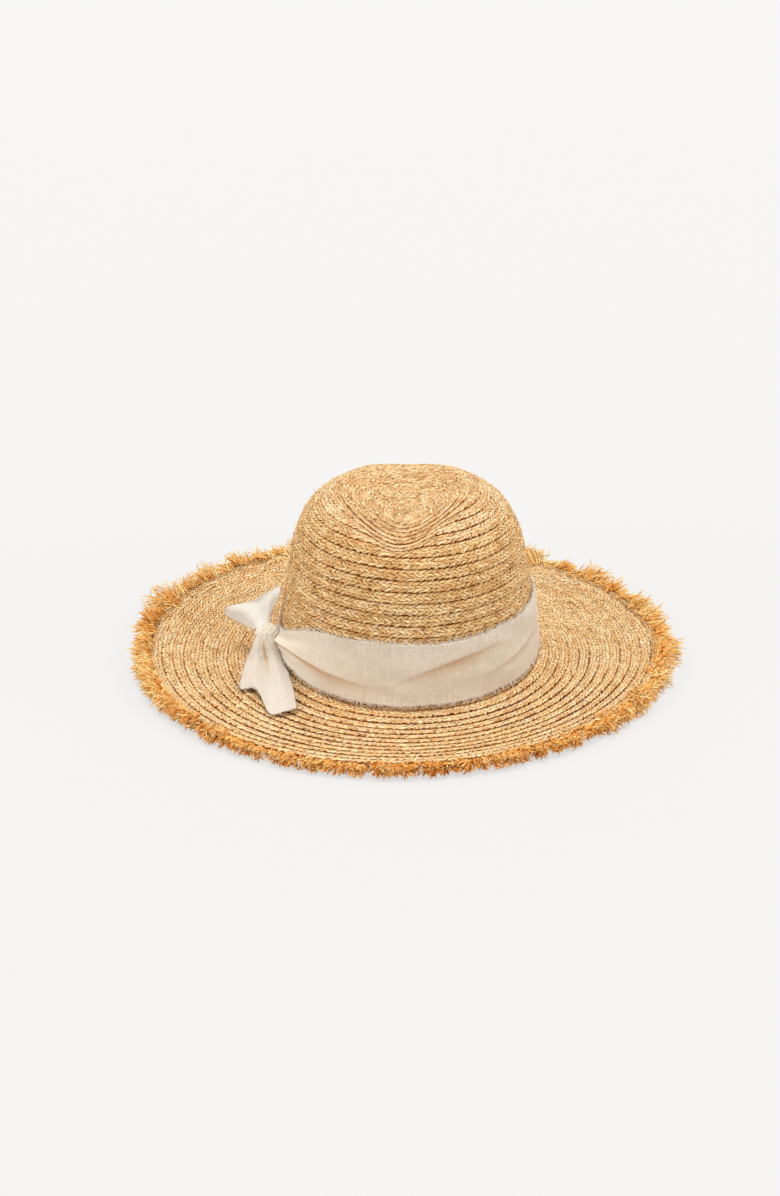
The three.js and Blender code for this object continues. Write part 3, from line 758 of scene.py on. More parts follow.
# ------------------------------------------------------------------ raffia fringe
def raffia_material():
    s = Shader("raffia")
    tone, along, deep_shade = (s.attribute(key) for key in ("tone", "along", "deep_shade"))
    pos = s.position()
    fine = s.noise(pos, scale=260.0, rough=0.6)
    big = s.noise(pos, scale=35.0, detail=1.0)
    shade = (tone * 0.72 + along * 0.20) + ((fine - 0.5) * 0.5 + (big - 0.5) * 0.55)
    colour = s.ramp(shade + 0.10, [(0.0, rgb(200, 110, 26)), (0.34, rgb(243, 171, 78)),
                                   (0.62, rgb(252, 204, 126)), (0.94, rgb(255, 232, 170))])
    # Painted shade deep in the fringe, towards dark red-brown
    colour = s.mix(deep_shade * 0.85, colour, rgb(160, 68, 6))
    return s.done(colour, 0.50, s.bump(fine, strength=0.3, depth=0.12), specular=0.22)


RAFFIA = raffia_material()
rng = np.random.default_rng(20)                # shared by the three parts of the fringe
UP_VECTOR = np.array([0, 0, 1.0])
FRINGE_WIDTHS = np.array([0.9, 1.05, 1.05, 1.0, 0.95, 0.80, 0.42])   # root to tip


def fringe(name, theta0, theta1, count, replaces=()):
    """Blades of raffia in tufts along the brim's edge between two angles."""
    tufts = int(150 * (theta1 - theta0) / TAU)
    spacing = (theta1 - theta0) / tufts
    tuft_theta = theta0 + ((np.arange(tufts) + rng.uniform(0.0, 1.0, tufts))
                           * (theta1 - theta0) / tufts)
    tuft_lean = rng.normal(0, 0.50, tufts)
    tuft_tilt = rng.normal(0.0, 0.20, tufts)
    tuft_length = (rng.uniform(0.62, 1.22, tufts)
                   * (1 + 0.20 * noise1(tuft_theta / TAU * 46, 77, wrap=46)))
    tuft_tone = rng.uniform(0, 1, tufts)
    tuft = rng.integers(0, tufts, count)
    theta = tuft_theta[tuft] + rng.normal(0, 0.30, count) * spacing
    theta = np.clip(theta, theta0 - 0.01, theta1 + 0.01)
    sine = np.sin(theta)
    front = np.clip(-sine * 1.25 - 0.1, 0, 1) ** 1.3       # 1 at the front of the hat
    back = 1 - front
    layer = rng.uniform(0, 1, count)                       # 0 underneath, 1 on top

    # Roots, some on the brim and some just past its edge
    inner = ((2.5 + 1.6 * np.clip(sine * 1.5, 0, 1) - 2.2 * front)
             * (1 + 0.55 * rng.normal(0, 1, tufts)[tuft]).clip(0.2, 2.0) + 0.5 * back)
    past = np.where(layer > 0.5, 1.5 - rng.uniform(0, 1, count) ** 1.6 * (inner + 1.5),
                    rng.uniform(-0.5, 1, count) * (2.0 + 3.5 * front))
    width = brim_width(theta)
    root = brim(theta, width + np.minimum(past, 0.0))
    outward = brim(theta, width + 4.0) - brim(theta, width + 1.0)
    outward[:, 2] = 0
    outward = unit(outward)
    sideways = np.stack([-outward[:, 1], outward[:, 0], np.zeros(count)], -1)
    beyond = np.maximum(past, 0)
    root = root + outward * beyond[:, None]
    root[:, 2] += -1.9 + (3.8 - 1.9 * front) * layer - beyond * 0.55 * front

    spread = rng.uniform(0.45, 1.08, count) * back + rng.uniform(0.55, 0.98, count) * front
    length = (fringe_length(theta) * spread
              * (tuft_length[tuft] * (1 - 0.4 * front) + 0.38 * front) * (1 - 0.36 * front)
              - np.minimum(past, 0) * 0.8 - beyond)
    length = np.maximum(length, 4.0)
    lean = (tuft_lean[tuft] * (1.0 + 0.5 * front)
            + rng.normal(0, 0.36 + 0.55 * front, count))
    tilt = (tuft_tilt[tuft] + rng.normal(0, 0.24 + 0.16 * front, count)
            + (layer - 0.5) * (0.55 + 0.3 * front) + 0.08 - 0.62 * front)

    rings = len(FRINGE_WIDTHS)
    path, side, face = (np.zeros((count, rings, 3)) for _ in range(3))
    path[:, 0] = root
    stride = (length / (rings - 1))[:, None]
    curl = unit(rng.normal(0, 1, (count, 3)))
    curl = curl * (rng.gamma(2.0, 0.5, count) * (0.05 + 0.34 * front))[:, None]
    heading = unit(outward * (np.cos(tilt) * np.cos(lean))[:, None]
                   + sideways * (np.cos(tilt) * np.sin(lean))[:, None]
                   + UP_VECTOR * np.sin(tilt)[:, None])
    droop = (0.018 + 0.055 * front)[:, None]
    roll = rng.uniform(-1.3, 1.3, count)
    for k in range(rings):
        flat = unit(np.cross(heading, UP_VECTOR + 0.001))
        raised = np.cross(flat, heading)
        rolled = (roll + k * 0.25 * np.sign(roll))[:, None]
        side[:, k] = flat * np.cos(rolled) + raised * np.sin(rolled)
        face[:, k] = np.cross(side[:, k], heading)
        if k < rings - 1:
            path[:, k + 1] = path[:, k] + heading * stride
            bend = (np.cross(curl, heading) * stride - UP_VECTOR * (droop * stride)
                    + rng.normal(0, 0.09, (count, 3)))
            heading = unit(heading + bend)
            # Blades that reach the ground lie on it
            low = path[:, k + 1, 2] < 0.9
            path[low, k + 1, 2] = 0.9 + rng.uniform(0, 0.5, low.sum())
            heading[low, 2] = np.abs(heading[low, 2]) * 0.3

    blade_width = (rng.uniform(0.50, 1.30, count)[:, None] * (1 + 0.15 * front)[:, None]
                   * FRINGE_WIDTHS)
    # Tone differs at random from blade to blade; as painted shade and light, the front and its
    # lower blades are darker, the sides a little darker and the back lighter
    tone = (0.25 * tuft_tone[tuft] + 0.80 * rng.uniform(0, 1, count) - 0.10 * front
            - 0.24 * front * (1 - layer) + 0.12 * np.clip(sine, 0, 1)
            - 0.04 * np.abs(np.cos(theta)))
    along = np.repeat(np.linspace(0, 1, rings)[None, :], count, 0)
    # Painted shade: lower blades are darker towards their roots
    deep_shade = np.clip(1.15 - layer[:, None] * 1.9, 0, 1) * np.clip(1.2 - along, 0, 1)
    attrs = {"tone": np.repeat(tone[:, None], rings, 1), "along": along, "deep_shade": deep_shade}
    blades(name, path, blade_width, side, face, attrs, RAFFIA, ridge=0.25,
           body="hat", slot="raffia_fringe", replaces=replaces)


FRINGE_COUNT = 4000
fringe("fringe_front", math.radians(205), math.radians(335), int(FRINGE_COUNT * 1.7),
       ("brim_fringe",))
fringe("fringe_left", math.radians(100), math.radians(205), FRINGE_COUNT)
fringe("fringe_right", math.radians(-25), math.radians(100), int(FRINGE_COUNT * 1.15))


# ------------------------------------------------------------------ small straw parts
def loose_fibres(count):
    """Short fibres that stand out of the plait all over the hat."""
    r = np.random.default_rng(33)
    on_crown = (r.uniform(0, 1, count) < 0.55)[:, None]
    theta = r.uniform(0, TAU, count)
    climb = r.uniform(50, CROWN_CLIMB - 20, count)
    out = r.uniform(8, 76, count)
    foot = np.where(on_crown, crown(theta, climb),
                    brim(theta, out * brim_width(theta) / BRIM_REACH))
    normal = np.where(on_crown, crown_normal(theta, climb), brim_normal(theta, out))
    guide = unit(r.normal(0, 1, (count, 3)))
    heading = unit(np.cross(normal, guide) + normal * r.uniform(0.15, 1.1, count)[:, None])
    rings = 5
    stride = r.uniform(1.6, 5.0, count) / (rings - 1)
    curl = unit(r.normal(0, 1, (count, 3))) * r.uniform(0.0, 0.22, count)[:, None]
    path, heading = grow(
        foot + normal * 0.4, heading, stride,
        lambda d: unit(d + np.cross(curl, d) * stride[:, None] - normal * 0.05), rings)
    width = r.uniform(0.16, 0.34, count)[:, None] * np.array([1, 1, 0.9, 0.7, 0.3])
    one = np.ones((count, rings))
    attrs = {"tone": one * r.uniform(0.2, 1, count)[:, None], "along": one * 0.7,
             "deep_shade": one * 0}
    blades("loose_fibres", path, width, hold(unit(np.cross(heading, normal + 0.01)), rings),
           hold(normal, rings), attrs, RAFFIA, ridge=0.6, body="hat", slot="straw_crown")


def root_shade_turn():
    """The turn where the wall becomes the brim, seen only as the dark line between them: it is
    painted dark all over, as painted shade at the foot of the wall.
    """
    n = 420
    theta = np.arange(n) * TAU / n
    outer = np.stack([crown(theta, 5.0) - crown_normal(theta, 5.0) * 2.0,
                      crown(theta, 1.6) - crown_normal(theta, 2.0) * 1.7,
                      brim(theta, -0.2) + np.array([0, 0, -1.2]),
                      brim(theta, 2.2) + np.array([0, 0, -1.7]),
                      brim(theta, 5.0) + np.array([0, 0, -1.7])], 1)
    inner = outer.copy()
    # The wall part is thickened inwards, the brim part downwards
    inner[:, :2] += np.stack([np.cos(theta) * -0.5, np.sin(theta) * -0.5, 0 * theta],
                             -1)[:, None, :]
    inner[:, 2:] += np.array([0, 0, -0.5])
    qa = np.broadcast_to((theta * GIRTH_RADIUS / 3.6)[:, None], (n, 5))
    qb = 10.0 + np.broadcast_to(np.linspace(0, 3, 5), (n, 5))
    # Painted shade over the whole sheet
    attrs = {"qa": qa, "qb": qb, "seam_shade": np.full((n, 5), 0.78), "tone": qa * 0}
    sheet("root_shade_turn", outer, inner, True, attrs, BRIM_STRAW_LIT, flip=True,
          body="hat", slot="straw_brim")


loose_fibres(1500)
root_shade_turn()


# ------------------------------------------------------------------ linen scarf
WARP, WEFT = 0.95, 0.80                        # thread spacings


def linen_material(name, dark, mid, light, fold_shade_colour, knot_light=False):
    s = Shader(name)
    wu, wv, fold_shade = (s.attribute(key) for key in ("wu", "wv", "fold_shade"))
    pos = s.position()
    slub_u = s.noise(s.vector(wu * 0.06, wv * 2.0, 0.0), scale=1.0, rough=0.6)
    slub_v = s.noise(s.vector(wu * 1.9, wv * 0.06, 5.0), scale=1.0, rough=0.6)
    warp = s.size(s.wave((wu + slub_v * 0.5) * (math.pi / WARP)))
    weft = s.size(s.wave((wv + slub_u * 0.5) * (math.pi / WEFT)))
    check = s.wave(wu * (math.pi / WARP)) * s.wave(wv * (math.pi / WEFT))
    weave = warp * weft * 0.7 + check * 0.25
    weave = weave + (slub_u + slub_v - 1.0) * 0.6
    big = s.noise(pos, scale=30.0)
    shade = ((weave * 0.42 + (big - 0.5) * 0.25)
             + (slub_u * 1.0 + slub_v * 1.0 - 1.0) * 0.40)
    colour = s.ramp(shade + 0.34, [(0.05, dark), (0.5, mid), (0.95, light)])
    # Patches of slanting darker lines
    line = s.wave((wu + slub_v * 0.9 - wv * 0.30) * (TAU / 2.0))
    patch = s.step(s.noise(pos, scale=16.0, detail=1.0), 0.38, 0.62)
    colour = s.mix(s.step(line, 0.1, 1.0) * (0.20 + patch * 0.80) * 0.52, colour, dark)
    if knot_light:                                   # painted light: lighter near the knot, on the band's lit left side
        colour = s.mix(s.attribute("knot_light") * 0.46, colour, rgb(234, 223, 206))
    # Painted shade in folds and creases
    colour = s.mix(fold_shade * 0.9, colour, fold_shade_colour)
    normal = s.bump(weave + line * 0.5, strength=0.5, depth=0.25)
    return s.done(colour, 0.88, normal, sheen=0.25, specular=0.18)


LINEN_BAND = linen_material(
    "linen_band", dark=rgb(166, 149, 128), mid=rgb(208, 195, 178), light=rgb(234, 226, 214),
    fold_shade_colour=rgb(186, 144, 100), knot_light=True)
LINEN_TAIL = linen_material(
    "linen_tail", dark=rgb(202, 189, 170), mid=rgb(220, 211, 198), light=rgb(233, 227, 218),
    fold_shade_colour=rgb(200, 162, 114))
# Copies of the knot's linen for the two tails, a little darker and greyer, as painted shade for
# how the light falls on each
LINEN_UPPER_SHADED = linen_material(
    "linen_up_shaded", dark=rgb(195, 187, 171), mid=rgb(213, 208, 199), light=rgb(226, 224, 218),
    fold_shade_colour=rgb(200, 162, 114))
LINEN_LOWER_SHADED = linen_material(
    "linen_low_shaded", dark=rgb(186, 173, 156), mid=rgb(206, 196, 183), light=rgb(222, 215, 206),
    fold_shade_colour=rgb(178, 138, 88))

KNOT_THETA = math.radians(193)                 # on the left, a little to the front
BAND_WIDTH = 41.0                              # nominal

# Soft folds round the right side and the back: start and end angle from the knot,
# start and end height as shares of the band's width, how far they stand out
SOFT_FOLDS = ((1.9, 3.1, 0.30, 0.62, 1.0), (2.8, 4.4, 0.72, 0.34, 1.0),
              (4.0, 5.7, 0.25, 0.60, 1.1), (5.1, 6.15, 0.66, 0.52, 1.4))


def from_knot(theta):
    """Angle from the knot, negative towards the back."""
    return (theta - KNOT_THETA + math.pi) % TAU - math.pi


def near_knot(theta, degrees):
    return np.exp(-(from_knot(theta) / math.radians(degrees)) ** 2)


def band_climb(theta, v):
    """Height up the crown of a place v across the band, 0 at its lower edge."""
    near = near_knot(theta, 24)
    low = 3.3 + 5.2 * near + 0.5 * noise1(theta / TAU * 30, 3, wrap=30)
    behind = np.exp(-((from_knot(theta) + math.radians(28)) / math.radians(26)) ** 2)
    high = (46.0 - 15.0 * near - 3.0 * near_knot(theta, 40) - 16.0 * behind
            + 0.6 * noise1(theta / TAU * 24, 5, wrap=24))
    return low + (high - low) * v


def pleat(v, line, height, sharp, soft, window):
    """Relief and painted shade of a pleat whose crease runs along v = line."""
    d = (v - line) * BAND_WIDTH
    fall = np.where(d > 0, np.exp(-np.maximum(d, 0) / soft), 0.0)
    up = height * fall * (1 - np.exp(-np.maximum(d + 0.6, 0) / 0.7))
    down = -0.4 * height * np.exp(-np.maximum(-d, 0) / (soft * 0.6)) * (d <= 0)
    blend = 1 / (1 + np.exp(-d / sharp))
    dark = (np.exp(-(np.minimum(d + 0.4, 0) / 2.4) ** 2)
            * np.exp(-(np.maximum(d + 0.4, 0) / 1.2) ** 2))
    return (up * blend + down * (1 - blend)) * window, dark * window


def band_relief(theta, v):
    """How far the outer face of the band stands off the crown, and how much painted shade its
    folds get.
    """
    # 0 at the knot, growing towards the front and on round by the right
    angle = (theta - KNOT_THETA) % TAU
    mm = angle * GIRTH_RADIUS
    past_back = math.radians(255)
    back = (np.clip(np.sin((angle - past_back) / math.radians(105) * math.pi), 0, 1)
            * (angle > past_back))
    relief = (2.15 - 0.75 * back + 0.5 * np.sin(np.pi * v)
              + (1.2 + 3.4 * np.sin(np.pi * v) ** 2) * near_knot(theta, 10) * (angle < math.pi)
              + 0.4 * near_knot(theta, 9) * (angle >= math.pi))
    relief = (relief + 0.95 * noise2(mm / 40, v * 2.6 + 0.5 * mm / 46, 21)
              + 0.42 * noise2(mm / 17 + v * 3, v * 5.0, 22))

    # Pleat that leaves the knot and runs down along the front left
    x = np.clip((angle - 0.10) / 1.25, 0, 1)
    line = 0.50 - 0.30 * x ** 0.8
    window = np.clip(angle / 0.10, 0, 1) * np.clip((1.12 - angle) / 0.62, 0, 1) ** 1.1
    rise, dark = pleat(v, line, height=1.9, sharp=0.35, soft=7.0, window=window)
    relief = relief + rise
    fold_shade = dark * 0.95
    fold_shade = fold_shade + (0.34 * np.exp(-(((v - line) * BAND_WIDTH + 3.6) / 3.2) ** 2)
                   * np.exp(-((angle - 0.72) / 0.30) ** 2))

    # Soft pleat rising to the right of the middle of the front
    x = np.clip((angle - 1.37) / 0.79, -0.2, 1.1)
    line = 0.46 + 0.73 * x - 0.46 * x * x
    window = np.exp(-((angle - 1.70) / 0.30) ** 2)
    rise, dark = pleat(v, line, height=1.6, sharp=0.9, soft=9.0, window=window)
    relief, fold_shade = relief + rise, fold_shade + dark * 0.55
    fold_shade = fold_shade + 0.34 * np.exp(-(((v - line) * BAND_WIDTH + 4.0) / 3.6) ** 2) * window

    for start, end, low, high, height in SOFT_FOLDS:
        x = np.clip((angle - start) / (end - start), 0, 1)
        rise, dark = pleat(v, low + (high - low) * x, height=height, sharp=0.7, soft=8.0,
                           window=np.sin(np.pi * x) ** 0.8)
        relief, fold_shade = relief + rise, fold_shade + dark * 0.30

    # Gathers that run into the knot
    d = from_knot(theta)
    near = (np.exp(-(d / math.radians(20)) ** 2)
            * (1 - 0.3 * np.exp(-(d / math.radians(3)) ** 2)))
    gather = np.sin(v * 24 + 2.0 * np.sin(v * 5))
    relief = relief + 0.55 * near * gather * np.sin(np.pi * v)
    fold_shade = fold_shade + 0.25 * near * np.clip(-gather, 0, 1) * np.sin(np.pi * v)
    # Painted shade on the band just behind the knot
    fold_shade = np.maximum(fold_shade, 0.85 * np.exp(-((d + math.radians(22)) / math.radians(13)) ** 2))

    # The raw edges stand a little proud
    edges = (0.5 * np.exp(-v * BAND_WIDTH / 2.0)
             + (0.15 - 0.45 * (angle > 1.9)) * np.exp(-(1 - v) * BAND_WIDTH / 2.0))
    relief = relief + edges * (0.5 + 0.5 * noise1(mm / 11, 31))
    return np.maximum(relief, 1.55), np.clip(fold_shade, 0, 1)


def fray(name, edge, outward, normal, material, shortest, longest, seed, spacing, width,
         keep=np.ones_like, **place):
    """Loose thread ends along an edge; keep scales their widths by the angle round it."""
    r = np.random.default_rng(seed)
    length = np.r_[0, np.cumsum(np.linalg.norm(np.diff(edge, axis=0), axis=1))]
    count = int(length[-1] / spacing)
    at = np.sort(r.uniform(0, length[-1], count))

    def sample(values):
        return np.stack([np.interp(at, length, values[:, k]) for k in range(3)], -1)

    root, out, up = sample(edge), unit(sample(outward)), unit(sample(normal))
    side = np.cross(out, up)
    rings = 4
    thread = r.uniform(shortest, longest, count) * (0.5 + 0.5 * r.uniform(0, 1, count) ** 2)

    def bend(heading, side_spread, up_mean, up_spread):
        return unit(heading + side * r.normal(0, side_spread, count)[:, None]
                    + up * r.normal(up_mean, up_spread, count)[:, None])

    path, _ = grow(root - out * 0.5, bend(out, 0.35, 0.1, 0.25), (thread + 0.5) / (rings - 1),
                   lambda d: bend(d, 0.22, -0.03, 0.15), rings)
    widths = (r.uniform(0.7, 1.2, count)[:, None] * keep(at / length[-1] * TAU)[:, None]
              * width * np.array([1, 0.95, 0.8, 0.35]))
    one = np.ones((count, rings))
    attrs = {"wu": one * at[:, None], "wv": one * 0.3, "fold_shade": one * 0.0}
    return blades(name, path, widths, hold(side, rings), hold(up, rings), attrs, material,
                  ridge=0.9, **place)


def scarf_band():
    columns, rows = ((760, 52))
    theta, v = np.meshgrid(np.arange(columns) * TAU / columns, np.linspace(0, 1, rows + 1),
                           indexing="ij")
    climb = band_climb(theta, v)
    relief, fold_shade = band_relief(theta, v)
    to_top, to_bottom = -(1 - v) * BAND_WIDTH, -v * BAND_WIDTH
    # Threads at the raw edges make them slightly ragged
    ragged = (0.5 * noise1(theta * GIRTH_RADIUS / 1.3, 41)
              * (np.exp(to_top / 0.8) - np.exp(to_bottom / 0.8)))
    outer = off_crown(theta, climb + ragged, relief)
    rim = np.exp(to_top / 1.3) + 0.6 * np.exp(to_bottom / 1.3)
    inner = off_crown(theta, climb + ragged,
                      np.maximum(relief - 0.75, 1.05) * (1 - rim) + 0.45 * rim)
    # Painted light near the knot
    knot_light = np.exp(-(np.clip(np.abs(from_knot(theta)) - 0.25, 0, 9) / 0.42) ** 2)
    attrs = {"wu": theta * GIRTH_RADIUS, "wv": climb + 100.0, "fold_shade": fold_shade, "knot_light": knot_light}
    sheet("scarf_band", outer, inner, True, attrs, LINEN_BAND, body="band",
          slot="linen_scarf", replaces=("hat_band",))

    def loop(points):
        return np.vstack([points, points[:1]])

    # Name, edge row, next row in, lean away from the crown, longest thread, seed
    for name, row, next_row, lean, longest, seed in (
            ("band_fray_top", -1, -2, 0.25, 4.4, 49),
            ("band_fray_bottom", 0, 1, 0.75, 3.8, 50)):
        normal = crown_normal(theta[:, row], climb[:, row])
        outward = unit(unit(outer[:, row] - outer[:, next_row]) + normal * lean)
        fray(name, loop(0.75 * outer[:, row] + 0.25 * inner[:, row]), loop(outward),
             loop(normal), LINEN_TAIL, 1.2, longest, seed, spacing=0.42, width=0.48,
             keep=lambda a: 1 - 0.8 * np.exp(-((a - math.radians(172)) / math.radians(12)) ** 4),
             body="band", slot="linen_scarf")


KNOT_CENTRE = np.array([-94.9, -27.0, 27.0])
KNOT_HALF_SIZE = (8.2, 5.9, 7.0)
KNOT_AXIS = unit(np.array([-0.42, -0.20, 0.88]))       # the wrap goes round this line
KNOT_SIDE = unit(np.cross(KNOT_AXIS, np.array([1.0, 0, 0])))


def scarf_knot():
    columns, rows = 96, 64
    u, v = np.meshgrid(np.arange(columns) * TAU / columns,
                       np.linspace(0, math.pi, rows + 1)[1:-1], indexing="ij")
    d = np.stack([np.cos(u) * np.sin(v), np.sin(u) * np.sin(v), np.cos(v)], -1)
    a = d @ KNOT_AXIS
    w = np.arctan2(d @ np.cross(KNOT_AXIS, KNOT_SIDE), d @ KNOT_SIDE)
    wrap = np.sin(a * 15 + 1.6 * np.sin(w + 0.7))
    half_x, half_y, half_z = KNOT_HALF_SIZE
    r = 1.0 / np.sqrt((d[..., 0] / half_x) ** 2 + (d[..., 1] / half_y) ** 2
                      + (d[..., 2] / half_z) ** 2)
    belly = 0.93 + 0.10 * np.exp(-((a - 0.05) / 0.60) ** 4)
    folds = (0.030 * wrap * np.exp(-(a / 0.62) ** 4)
             + 0.018 * np.sin(a * 31 + 2.5 * np.sin(w * 2)))
    pinch = 0.05 * np.sin(6 * w + 3 * a) * np.clip(np.abs(a) - 0.45, 0, 1)
    points = KNOT_CENTRE + d * (r * (belly + folds + pinch))[..., None]

    idx = np.arange(a.size).reshape(a.shape)
    after = np.roll(idx, -1, 0)
    quads = faces_of(idx[:, :-1], idx[:, 1:], after[:, 1:], after[:, :-1])
    caps = np.vstack([faces_of(a.size, idx[:, 0], after[:, 0]),
                      faces_of(a.size + 1, after[:, -1], idx[:, -1])])
    uv = grid_uv(columns, rows - 2, 0.02, 0.06, 0.98, 0.94)[:, [0, 3, 2, 1]]
    edge = np.arange(columns + 1) / columns * 0.96 + 0.02
    left, right = edge[:-1], edge[1:]
    middle = (left + right) / 2
    cap_uv = np.vstack([uv_of((middle, 0.02), (left, 0.06), (right, 0.06)),
                        uv_of((middle, 0.98), (right, 0.94), (left, 0.94))])
    # Painted shade in the valleys of the wrap
    attrs = {"wu": w * 6.5 + 60, "wv": a * 8.0 + 40, "fold_shade": np.clip(-wrap - 0.55, 0, 1) * 0.45}
    attrs = {key: np.r_[values.ravel(), values[:, 0].mean(), values[:, -1].mean()]
             for key, values in attrs.items()}
    points = np.vstack([points.reshape(-1, 3), points[:, 0].mean(0), points[:, -1].mean(0)])
    make_mesh("scarf_knot", points, [quads, caps], [uv, cap_uv], attrs, LINEN_TAIL,
              "band", "linen_scarf", ("band_knot",))


scarf_band()
scarf_knot()

# ------------------------------------------------------------------ the two tails
# Each row is five points across the tail (x, y, z), and the rows run from the knot outwards
LOWER_TAIL = np.array([
    [[-101.6, -31.0, 25.8], [-99.0, -33.6, 27.0], [-96.4, -34.4, 27.2],
     [-93.6, -34.2, 27.0], [-89.6, -31.8, 25.8]],
    [[-104.0, -33.4, 21.0], [-100.3, -37.0, 22.4], [-96.8, -36.9, 22.2],
     [-92.6, -37.2, 22.4], [-87.4, -34.4, 21.4]],
    [[-106.9, -34.2, 14.4], [-101.9, -39.6, 16.8], [-96.0, -38.9, 16.2],
     [-90.6, -40.2, 16.8], [-85.6, -37.6, 15.8]],
    [[-109.2, -36.9, 9.2], [-102.4, -45.1, 12.5], [-94.5, -43.4, 11.4],
     [-87.9, -46.6, 13.0], [-83.0, -42.6, 12.0]],
    [[-110.8, -53.8, 6.9], [-102.7, -61.9, 10.2], [-92.8, -61.6, 8.4],
     [-84.1, -66.3, 11.0], [-78.6, -57.2, 9.5]],
    [[-111.5, -63.4, 6.0], [-101.5, -69.9, 8.2], [-91.3, -82.5, 5.6],
     [-81.5, -89.1, 9.0], [-74.4, -79.3, 7.4]],
    [[-111.0, -70.5, 5.8], [-99.2, -74.2, 6.6], [-88.9, -105.7, 5.6],
     [-79.3, -106.1, 7.0], [-71.4, -99.5, 6.2]]])
UPPER_TAIL = np.array([
    [[-102.0, -22.6, 28.4], [-100.0, -24.6, 29.6], [-97.8, -25.6, 30.4],
     [-95.6, -26.2, 31.0], [-93.2, -25.6, 30.6]],
    [[-105.8, -15.0, 24.4], [-102.4, -17.6, 29.5], [-99.0, -15.8, 31.3],
     [-95.9, -19.8, 34.3], [-93.5, -20.1, 34.1]],
    [[-113.0, -6.9, 24.1], [-107.6, -10.8, 32.4], [-101.1, -8.5, 36.0],
     [-95.0, -15.6, 42.2], [-90.2, -15.9, 43.2]],
    [[-121.5, 2.5, 23.8], [-114.4, -3.4, 34.0], [-103.8, -3.1, 38.5],
     [-93.0, -12.6, 48.8], [-86.2, -14.9, 50.9]],
    [[-127.3, 9.5, 24.5], [-123.5, 5.0, 31.9], [-106.8, -0.7, 38.9],
     [-94.8, -9.7, 49.5], [-85.9, -11.7, 54.6]]])


def refine(grid, steps, axis):
    """Smooth curves through a grid of points along one axis."""
    grid = np.moveaxis(grid, axis, 0)
    n = len(grid)
    t = np.linspace(0, n - 1, steps + 1)
    p = np.concatenate([[2 * grid[0] - grid[1]], grid, [2 * grid[-1] - grid[-2]]])
    i = np.minimum(np.floor(t).astype(int), n - 2)
    f = (t - i).reshape((-1,) + (1,) * (grid.ndim - 1))
    return np.moveaxis(catmull_rom(p[i], p[i + 1], p[i + 2], p[i + 3], f), 0, axis)


def tail_normals(points):
    return -unit(np.cross(np.gradient(points, axis=0), np.gradient(points, axis=1)))


def tail(body, stations, root, rows, columns, seed, settle, material,
         crease=None):
    """A tail of the scarf; settle() keeps it clear of the brim, and it starts close by the knot's
    centre.
    """
    def place(ob):
        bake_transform(ob)

    stations = np.concatenate([(root + (stations[0] - root) * 0.38)[None], stations])
    points = refine(refine(stations, rows, 0), columns, 1)
    along = np.linspace(0, 1, rows + 1)[:, None]
    across = np.linspace(0, 1, columns + 1)[None, :]
    normal = tail_normals(points)
    length = np.linalg.norm(np.diff(points[:, columns // 2], axis=0), axis=1).sum()
    width = np.linalg.norm(np.diff(points, axis=1), axis=2).sum(1)[:, None]

    # Gathers that open out from the knot, then a soft unevenness
    gather = np.exp(-(along / 0.30) ** 2) * np.clip(along / 0.05, 0, 1)
    ripple = np.sin(across * 20 + 1.3 * np.sin(along * 6 + seed))
    relief = (0.42 * gather * ripple + 0.35 * noise2(along * 4.5 + seed, across * 3.0, seed + 3)
              * np.clip(along * 4, 0, 1))
    relief = relief + 0.15 * noise2(along * 17, across * 9, seed + 4)
    end_ragged = (0.45 * noise1(across * width / 1.6, seed + 7)
                  * np.exp(-(1 - along) * length / 1.5))
    side_ragged = (0.40 * noise1(along * length / 1.7, seed + 8)
                   * (np.exp(-across * width / 1.2) - np.exp(-(1 - across) * width / 1.2)))
    ahead, aside = unit(np.gradient(points, axis=0)), unit(np.gradient(points, axis=1))
    points = settle(points + normal * relief[..., None] + ahead * end_ragged[..., None]
                    - aside * side_ragged[..., None])
    normal = tail_normals(points)
    half_thick = (0.30 + 0.35 * np.clip(1 - along * 5, 0, 1))[..., None]
    # Painted shade in the gathers and along the crease
    fold_shade = 0.16 * gather * np.clip(-ripple, 0, 1)
    if crease is not None:
        fold_shade = fold_shade + crease(along, across)
    attrs = {"wu": across * width, "wv": along * length + 30.0 + 0 * across,
             "fold_shade": np.clip(fold_shade, 0, 1)}
    name = body + "_cloth"
    ob = sheet(name, points + normal * half_thick, points - normal * half_thick, False,
               attrs, material, flip=True)
    place(ob)
    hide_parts(body)
    # The side edges fray from the seventh row on
    for tag, pick, outward, longest in (
            ("a", np.s_[6:, 0], -aside, 2.6), ("b", np.s_[6:, -1], aside, 2.6),
            ("end", np.s_[-1], ahead, 2.0)):
        place(fray(name + "_fray_" + tag, points[pick], outward[pick], normal[pick], material,
                   0.9, longest, seed + ord(tag[0]), spacing=0.45, width=0.32))


def rest_on_brim(points):
    limit = brim_z(points) + 1.9
    gap = points[..., 2] - limit
    points = points.copy()
    eased = 1.5 * np.exp(np.clip(gap - 1.5, -12, 0) / 1.5)
    points[..., 2] = limit + np.where(gap > 1.5, gap, eased)
    return points


def clear_of_brim(points):
    limit = brim_z(points) + 2.0
    points = points.copy()
    points[..., 2] = np.maximum(points[..., 2], limit)
    return points


# Painted shade along a crease down the middle of the lower tail
def middle_crease(along, across):
    return (0.95 * np.exp(-((across - 0.50 - 0.02 * along) / 0.046) ** 2)
            * np.clip((along - 0.17) / 0.12, 0, 1) * np.clip((0.72 - along) / 0.25, 0, 1))


